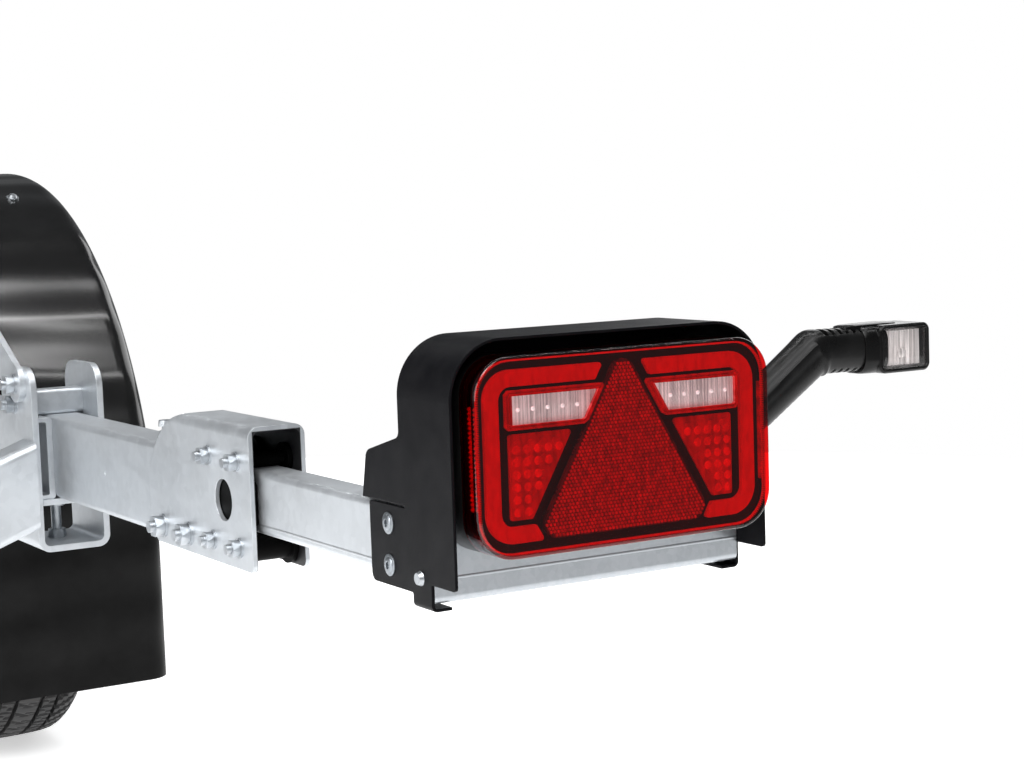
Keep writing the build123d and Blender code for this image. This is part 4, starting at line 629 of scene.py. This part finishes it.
def window_trays(bm):
    """Bright corrugated reflector behind each reversing window, slanted at its inner end."""
    low, top = WINDOW_LOW - TRAY_MARGIN, WINDOW_TOP + TRAY_MARGIN
    outer = WINDOW_OUTER + TRAY_MARGIN
    inner_top = WINDOW_INNER - 0.6
    inner_low = inner_top + (top - low) * WINDOW_SLOPE
    for way in (-1, 1):
        rows = []
        for step in range(TRAY_FLUTES + 1):
            part = step / TRAY_FLUTES
            depth = LENS_FACE + (5.25 if step % 2 else 4.95)
            rows.append([bm.verts.new(mm(LAMP_X + way * (outer - part * (outer - inner)), depth, z))
                         for inner, z in ((inner_low, low), (inner_top, top))])
        for (a, b), (c, d) in zip(rows, rows[1:]):
            bm.faces.new((a, c, d, b))


def mirror_coat(name):
    """Vacuum-metal coat of a lamp's reflector, with painted bright and dark flutes and a painted glow.
    """
    g = Graph(name, Metallic=0.55, Emission_Strength=0.16)
    flute = g.noise(120.0, 2.0, stretch=(6.0, 1.0, 0.15))
    # Painted reflection: the flute noise sets dim and bright streaks in the colour, and the same
    # colour is emitted as a painted glow.
    base = g.blend(g.remap(flute, 0.35, 0.65, 0.0, 1.0), (0.46, 0.42, 0.42, 1), (0.98, 0.93, 0.93, 1))
    return g.set(Base_Color=base, Emission_Color=base,
                 Roughness=g.remap(flute, 0.3, 0.7, 0.30, 0.44)).mat


SILVER = mirror_coat("window_mirror")
# The window frames carry a painted glow.
piece("window_bezels", "arm", "red_guide", window_bezels, angle=25,
      look=red_optic("red_window_frame", (0.50, 0.010, 0.012, 1), (0.80, 0.05, 0.05, 1),
                     relief=0.05, painted_glow=0.18))
piece("window_panes", "arm", "window", window_panes, angle=30, replaced=("reversing_windows",))
piece("window_diodes", "arm", "led", window_diodes, angle=50)
piece("window_trays", "arm", "led", window_trays, look=SILVER, angle=10)


STRIP_REACH, STRIP_PITCH, STRIP_INSET = 34.0, 3.1, 2.9
STRIP_FRONT, STRIP_BACK = LENS_FACE + 5.5, LENS_FACE + 18.0


def side_reflex(bm):
    """Upright prism strips that show through the lens's side walls."""
    for x, way in ((LENS_LOW.x * 1000 + STRIP_INSET, 1), (LENS_HIGH.x * 1000 - STRIP_INSET, -1)):
        z = LAMP_Z - STRIP_REACH
        while z < LAMP_Z + STRIP_REACH:
            back = [bm.verts.new(mm(x + way * 1.2, y, z + h))
                    for y, h in ((STRIP_FRONT, 0), (STRIP_BACK, 0), (STRIP_BACK, 3.0),
                                 (STRIP_FRONT, 3.0))]
            ridge = [bm.verts.new(mm(x, y, z + 1.5)) for y in (STRIP_FRONT, STRIP_BACK)]
            bm.faces.new(back)
            bm.faces.new((back[0], back[1], ridge[1], ridge[0]))
            bm.faces.new((back[3], ridge[0], ridge[1], back[2]))
            bm.faces.new((back[0], ridge[0], back[3]))
            bm.faces.new((back[1], back[2], ridge[1]))
            z += STRIP_PITCH


piece("side_reflex_strips", "arm", "red_guide", side_reflex, look=REFLEX, angle=10)


# ---------------------------------------------------------------- side marker
ROOT, ELBOW, NECK_END = (259.5, 73.5), (326.0, 119.2), (376.0, 119.2)  # X and Z, in millimetres
ELBOW_BEND = 7.0
MARKER_Y = -1850.0


def marker_path(steps):
    """Centre line of the rubber arm in X and Z, with its direction and how far along it is."""
    points = []
    leg = math.dist(ROOT, ELBOW)
    neck = NECK_END[0] - ELBOW[0]
    bend = ELBOW_BEND
    rise = math.atan2(ELBOW[1] - ROOT[1], ELBOW[0] - ROOT[0])
    for step in range(steps + 1):
        part = step / steps * (leg + neck)
        if part < leg - bend:
            x = ROOT[0] + part * math.cos(rise)
            z = ROOT[1] + part * math.sin(rise)
            turn = rise
        elif part > leg + bend:
            x, z, turn = ELBOW[0] + part - leg, ELBOW[1], 0.0
        else:
            t = (part - leg + bend) / (2 * bend)
            ax, az = ELBOW[0] - bend * math.cos(rise), ELBOW[1] - bend * math.sin(rise)
            bx, bz = ELBOW[0] + bend, ELBOW[1]
            x = (1 - t) ** 2 * ax + 2 * t * (1 - t) * ELBOW[0] + t * t * bx
            z = (1 - t) ** 2 * az + 2 * t * (1 - t) * ELBOW[1] + t * t * bz
            turn = rise * (1 - t)
        points.append((x, z, turn, part / (leg + neck)))
    return points


ARM_STEPS, ARM_AROUND = 190, 40
ELBOW_PART = 0.62  # how far along the arm its elbow is
NOTCHES, NOTCH_DEPTH, NOTCH_UNDER = 20, 3.4, 2.6


def rubber_arm(bm):
    """Bent rubber arm: ridged leg, swollen elbow, and a neck notched above and below."""
    rings = []
    for x, z, turn, part in marker_path(ARM_STEPS):
        half_w = 14.2 + 0.8 * part
        half_h = 16.2 + 0.4 * part
        if part < 0.10:
            half_w, half_h = half_w * 0.98, half_h * 0.95
        swell = 1.4 * math.exp(-((part - ELBOW_PART) / 0.035) ** 2)
        on_leg = part < 0.60
        notched = 0.64 < part < 0.97 and (part * NOTCHES) % 1.0 < 0.42
        ring = []
        for k in range(ARM_AROUND):
            a = 2 * math.pi * k / ARM_AROUND
            c, s = math.cos(a), math.sin(a)
            power = 2 / (2.0 + 0.8 * part)
            u = math.copysign(abs(c) ** power, c) * half_w
            v = math.copysign(abs(s) ** power, s) * half_h
            if on_leg and abs(math.degrees(a) - 160) < 11:
                u, v = u * 1.09, v * 1.09
            if notched and (s > 0.72 or (s < -0.80 and part > 0.7)):
                v -= math.copysign(NOTCH_DEPTH, s)
            if on_leg and s < -0.88 and (part * NOTCHES) % 1.0 < 0.4:
                v += NOTCH_UNDER
            u, v = u * (1 + swell * 0.04), v + math.copysign(swell, s) * abs(s)
            ring.append(mm(x - v * math.sin(turn), MARKER_Y + u, z + v * math.cos(turn)))
        rings.append(ring)
    loft(bm, rings)


arm_skin = piece("marker_rubber_arm", None, "rubber", rubber_arm, angle=40,
                 replaced=("marker_arm",))
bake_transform(arm_skin)


HEAD_LEFT, HEAD_RIGHT = 375.5, 425.0
HEAD_LOW, HEAD_HIGH = 100.3, 136.4
GLASS_LEFT, GLASS_RIGHT, GLASS_LOW, GLASS_HIGH = 378.8, 420.4, 103.0, 133.9


def in_plane(points, x, z, y):
    return [mm(x + px, y, z + pz) for px, pz in points]


def head_shell(bm):
    """Lamp head: rounded box through from front to rear, tapering inboard to the neck."""
    x, z = (HEAD_LEFT + HEAD_RIGHT) / 2, (HEAD_LOW + HEAD_HIGH) / 2
    width, height = HEAD_RIGHT - HEAD_LEFT, HEAD_HIGH - HEAD_LOW
    half = ((9.0, 6.0), (16.6, 3.6), (17.9, 2.6), (17.9, 1.4), (16.6, 0.1), (14.0, 0.0))
    through = [(-y, inset) for y, inset in half] + list(half[::-1])
    loft(bm, [in_plane(rounded_rect(width, height, 6.0, inset=inset), x, z, MARKER_Y + y)
              for y, inset in through])
    taper = []
    for x, half_w, half_h in ((364.0, 15.4, 17.0), (365.5, 16.3, 17.7), (374.0, 16.8, 17.9),
                              (384.0, 17.2, 18.0)):
        ring = [mm(x, MARKER_Y + px, z + pz) for px, pz in rounded_rect(half_w * 2, half_h * 2, 11.0)]
        taper.append(ring)
    loft(bm, taper)


def head_fin(bm):
    """Long flat cap along the top of the head, which reaches back over the neck."""
    rings = []
    for x, half_w, top in ((350.0, 4.0, 135.9), (352.0, 7.5, 137.0), (360.0, 9.5, 137.6),
                           (388.0, 10.0, 138.0), (400.0, 8.0, 137.6)):
        rings.append([mm(x, MARKER_Y + half_w * share, top - drop)
                      for share, drop in ((-1.0, 4.5), (-0.9, 0.8), (-0.6, 0.0), (0.6, 0.0),
                                          (0.9, 0.8), (1.0, 4.5))])
    loft(bm, rings)


HEAD_PLASTIC = moulded("marker_plastic", tone=0.004, rough=0.30, shine=0.22)
piece("marker_head_shell", "marker", "rubber", head_shell, angle=40, look=HEAD_PLASTIC,
      replaced=("marker_head",))
piece("marker_head_cap", "marker", "rubber", head_fin, angle=40, look=HEAD_PLASTIC)


def glass_plates(bm):
    """Clear window on each side of the head, with a rounded rim."""
    x, z = (GLASS_LEFT + GLASS_RIGHT) / 2, (GLASS_LOW + GLASS_HIGH) / 2
    width, height = GLASS_RIGHT - GLASS_LEFT, GLASS_HIGH - GLASS_LOW
    for way in (-1, 1):
        loft(bm, [in_plane(rounded_rect(width, height, 4.0, inset=inset), x, z, MARKER_Y + way * y)
                  for y, inset in ((14.6, 0.0), (17.2, 0.0), (17.6, 0.7))])


piece("marker_windows", "marker", "amber", glass_plates, angle=30, replaced=("marker_lenses",))


MIRROR_FLUTES, MIRROR_MARGIN, MIRROR_DEPTH = 26, 1.5, 12.6


def marker_mirrors(bm):
    """Bright reflector behind both marker windows: plain at its ends, fluted between."""
    for way in (1, -1):
        y = MARKER_Y - way * MIRROR_DEPTH
        rows = []
        for step in range(MIRROR_FLUTES + 1):
            part = step / MIRROR_FLUTES
            x = GLASS_LEFT + MIRROR_MARGIN + (GLASS_RIGHT - GLASS_LEFT - 2 * MIRROR_MARGIN) * part
            depth = y + way * ((0.0 if step % 2 else 1.3) if 0.3 < part < 0.85 else 0.4)
            rows.append([bm.verts.new(mm(x, depth, z))
                         for z in (GLASS_LOW + MIRROR_MARGIN, GLASS_HIGH - MIRROR_MARGIN)])
        for (a, b), (c, d) in zip(rows, rows[1:]):
            bm.faces.new((a, c, d, b))
        dome(bm, mm(401.0, y, 114.0), mm(4.2), mm(1.6), REAR * way, RIGHT, UP)


piece("marker_mirrors", "marker", "led", marker_mirrors, look=SILVER, angle=10)


# ---------------------------------------------------------------- cover bolts
BOLT_SEAT_R = 9.0  # radius of the CAD bolt's head, whose edge is the box's edge
# Radius and X of the head, from the cover's face outward and down into the socket.
BOLT_PROFILE = ((7.6, 3.0), (7.6, 2.3), (7.1, 2.0), (5.7, 1.9), (5.5, 1.5), (4.6, 0.9),
                (3.4, 0.65), (2.7, 0.65), (2.4, 0.9), (2.3, 2.3))


def bolt_heads(bm):
    """Low socket heads on a washer flange, where the cover is bolted to the arm."""
    low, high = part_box("cover_flange_bolts")
    y = (low.y + high.y) * 500
    turns = [2 * math.pi * k / 36 for k in range(36)]
    for z in (low.z * 1000 + BOLT_SEAT_R, high.z * 1000 - BOLT_SEAT_R):
        loft(bm, [[mm(x, y + r * math.cos(a), z + r * math.sin(a)) for a in turns]
                  for r, x in BOLT_PROFILE])


piece("cover_bolt_heads", "arm", "zinc", bolt_heads, look=plated("dull_zinc", tone=0.34), angle=28,
      replaced=("cover_flange_bolts",))


# ---------------------------------------------------------------- slide bracket
PAD_LENGTH, PAD_HEIGHT, PAD_Y, PAD_Z = 92.0, 36.5, -1522.5, 9.0
PAD_FACES = ((0.3, 4.5), (39.7, 35.5))  # X of each pad's outer and inner face


def wear_pads(bm):
    """Black side pads that guide the arm between the rollers."""
    for outer, inner in PAD_FACES:
        loft(bm, [[mm(x, PAD_Y + py, PAD_Z + pz)
                   for py, pz in rounded_rect(PAD_LENGTH, PAD_HEIGHT, 5.0, inset=inset)]
                  for x, inset in ((outer, 0.0), ((outer + inner) / 2, 0.0), (inner, 1.2))])


piece("arm_wear_pads", "chassis", "nylon", wear_pads, angle=30)


# ---------------------------------------------------------------- tyre
TREAD_EDGE = 60.0
PITCH_COUNT = 76  # tread blocks round the tyre
TYRE_STEPS = PITCH_COUNT * 12
SLANT = 0.045  # how far a tread block shifts round for each millimetre across
INNER_WALL = [(45.0, 167.0), (54.0, 195.0), (71.0, 234.0), (64.0, 274.0), (0.0, 277.0),
              (-64.0, 274.0), (-71.0, 234.0), (-54.0, 195.0), (-45.0, 167.0)]


def block_phase(turn, slant, x):
    """Where this angle lies within a tread block, from 0 to 1, the halves half a block apart."""
    return (turn * PITCH_COUNT / (2 * math.pi) + slant + (0.5 if x > 0 else 0.0)) % 1.0


def tread_depth(x, turn):
    """How deep the tread is cut at x from the tyre's middle, and at this angle, in millimetres."""
    side = abs(x)
    if side > TREAD_EDGE + 6:
        return 0.0
    if 14.0 < side < 20.0 or 36.0 < side < 41.0:
        return 7.0
    phase = block_phase(turn, x * SLANT if side > 20.0 else -x * 0.03, x)
    if side > 41.0:
        return 6.5 if phase < 0.26 else 0.0
    if side > 20.0:
        return 5.0 if phase < 0.18 else 0.0
    return 3.0 if phase < 0.10 else 0.0


def tyre_outline():
    """Half the tyre's outer section, from the middle of the tread to the bead."""
    return [(0, 296.8), (7, 296.8), (13.9, 296.7), (14.1, 296.7), (17, 296.7), (19.9, 296.6),
            (20.1, 296.6), (28, 296.4), (35.9, 296.1), (36.1, 296.1), (40.9, 295.9), (41.1, 295.9),
            (47, 295.5), (53, 295.0), (59, 293.8), (64, 291.5), (68.5, 288.0), (72.5, 283.0),
            (75.5, 276.0), (77.5, 268.0), (77.9, 266.0), (78.6, 265.0), (80.2, 252.0),
            (81.3, 238.0), (81.3, 232.0), (80.5, 224.0), (79.6, 221.0), (79.0, 220.0),
            (75.5, 205.0), (71.0, 194.0), (66.0, 188.0), (61.0, 183.0), (57.0, 178.0),
            (56.4, 170.0), (55.0, 166.5)]


def tyre_skin(bm):
    """Tyre with grooves, slanted blocks, shoulder lugs and a ribbed band on each wall."""
    half = tyre_outline()
    outer = [(-x, r) for x, r in half[:0:-1]] + half
    rings = []
    for step in range(TYRE_STEPS):
        turn = 2 * math.pi * step / TYRE_STEPS
        ring = []
        for x, r in outer:
            depth = tread_depth(x, turn)
            if TREAD_EDGE < abs(x) < 74 and block_phase(turn, x * SLANT, x) < 0.26:
                depth = 3.0
            if 78.5 < abs(x) < 80.0 and r > 255 and step % 4 < 2:
                depth = 0.6
            ring.append((x, r - depth))
        ring += INNER_WALL
        rings.append([WHEEL + mm(x, r * math.cos(turn), r * math.sin(turn)) for x, r in ring])
    loft(bm, rings, closed=True)


piece("tyre_skin", "wheel", "tyre", tyre_skin, angle=38, replaced=("tyre",))


# ---------------------------------------------------------------- studio
STRIP = (4.2, 0.10)
# Name, place, what it points at, width and height, and power in watts.
LIGHTS = (("side_softbox", (-3.2, -1.9, 1.0), (0.0, -1.2, 0.0), (3.2, 2.2), 70.0),
          ("far_side_softbox", (3.4, 0.6, 1.4), (0.2, -0.8, 0.0), (2.6, 2.0), 34.0),
          ("key_softbox", (-1.6, -3.2, 2.8), (0.1, -1.4, 0.0), (1.4, 1.0), 42.0),
          ("ceiling_strip_near", (0.4, -2.7, 2.6), (0.15, -0.6, 0.2), STRIP, 24.0),
          ("ceiling_strip_mid", (0.4, -1.5, 2.7), (0.15, -0.6, 0.2), STRIP, 24.0),
          ("ceiling_strip_far", (0.4, -0.2, 2.7), (0.15, -0.3, 0.2), STRIP, 24.0))
FLOOR_X, FLOOR_Y, FLOOR_R, FLOOR_GAP = 0.1, -0.8, 3.4, 0.0003


def area_light(name, place, target, size, power):
    lamp = bpy.data.lights.new(name, "AREA")
    lamp.shape = "RECTANGLE"
    lamp.size, lamp.size_y = size
    lamp.energy = power
    obj = bpy.data.objects.new(name, lamp)
    bpy.context.scene.collection.objects.link(obj)
    obj.location = place
    obj.rotation_mode = "QUATERNION"
    obj.rotation_quaternion = (Vector(target) - Vector(place)).to_track_quat("-Z", "Y")


def pale_world():
    """World that is white to the camera and dim to everything it lights."""
    world = bpy.data.worlds.new("pale_studio")
    bpy.context.scene.world = world
    world.use_nodes = True
    tree = world.node_tree
    sky = tree.nodes["Background"]
    place = tree.nodes.new("ShaderNodeTexCoord")
    split = tree.nodes.new("ShaderNodeSeparateXYZ")
    fade = tree.nodes.new("ShaderNodeValToRGB")
    seen = tree.nodes.new("ShaderNodeLightPath")
    pick = tree.nodes.new("ShaderNodeMix")
    pick.data_type = "RGBA"
    tree.links.new(place.outputs["Generated"], split.inputs[0])
    tree.links.new(split.outputs["Z"], fade.inputs["Fac"])
    tree.links.new(seen.outputs["Is Camera Ray"], pick.inputs[0])
    tree.links.new(fade.outputs["Color"], pick.inputs[6])
    pick.inputs[7].default_value = (1.0, 1.0, 1.0, 1.0)
    tree.links.new(pick.outputs[2], sky.inputs["Color"])
    fade.color_ramp.elements[0].position = 0.0
    fade.color_ramp.elements[0].color = (0.20, 0.205, 0.21, 1.0)
    fade.color_ramp.elements[1].position = 0.6
    fade.color_ramp.elements[1].color = (0.10, 0.103, 0.108, 1.0)
    sky.inputs["Strength"].default_value = 1.0


def studio():
    """Soft lights all round, over a pale paper floor."""
    scene = bpy.context.scene
    scene.view_settings.view_transform = "Standard"
    pale_world()
    for name, place, target, size, power in LIGHTS:
        area_light(name, place, target, size, power)
    sun = bpy.data.lights.new("soft_overhead", "SUN")
    sun.energy = 1.5
    sun.angle = math.radians(50)
    sun_obj = bpy.data.objects.new("soft_overhead", sun)
    sun_obj.rotation_euler = (math.radians(28), math.radians(-22), 0)
    scene.collection.objects.link(sun_obj)

    floor_mesh = bpy.data.meshes.new("studio_floor")
    bm = bmesh.new()
    z = CAD_BOX[0][2] - FLOOR_GAP
    bm.faces.new([bm.verts.new((FLOOR_X + FLOOR_R * math.cos(a), FLOOR_Y + FLOOR_R * math.sin(a), z))
                  for a in (2 * math.pi * k / 96 for k in range(96))])
    bm.to_mesh(floor_mesh)
    bm.free()
    floor = bpy.data.objects.new("studio_floor", floor_mesh)
    scene.collection.objects.link(floor)
    paper = Graph("studio_paper", Roughness=0.9, Specular_IOR_Level=0.1, Emission_Strength=0.55)
    paper.shader.inputs["Emission Color"].default_value = grey(1.0)
    tint = paper.blend(paper.noise(2.0), (0.93, 0.93, 0.93, 1), (0.96, 0.96, 0.96, 1))
    dress(floor, paper.set(Base_Color=tint).mat)


CAMERA_PLACE = (-0.62109, -3.00932, 0.24257)
YAW, PITCH, ROLL = 0.5371, 0.0937, -0.0341  # in radians, solved from the photo's straight edges
LENS_MM, SENSOR_MM = 71.26, 36.0


def camera():
    """Camera at the photo's place and angle."""
    yaw, pitch, roll = YAW, PITCH, ROLL
    ahead = Vector((math.sin(yaw) * math.cos(pitch), math.cos(yaw) * math.cos(pitch),
                    -math.sin(pitch)))
    right = Vector((math.cos(yaw), -math.sin(yaw), 0.0))
    up = right.cross(ahead)
    tilted_right = right * math.cos(roll) + up * math.sin(roll)
    tilted_up = up * math.cos(roll) - right * math.sin(roll)
    data = bpy.data.cameras.new("view")
    data.lens, data.sensor_width = LENS_MM, SENSOR_MM
    data.clip_start, data.clip_end = 0.05, 200.0
    obj = bpy.data.objects.new("view", data)
    turn = Matrix((tilted_right, tilted_up, -ahead)).transposed()
    obj.matrix_world = Matrix.Translation(CAMERA_PLACE) @ turn.to_4x4()
    bpy.context.scene.collection.objects.link(obj)
    bpy.context.scene.camera = obj


studio()
camera()
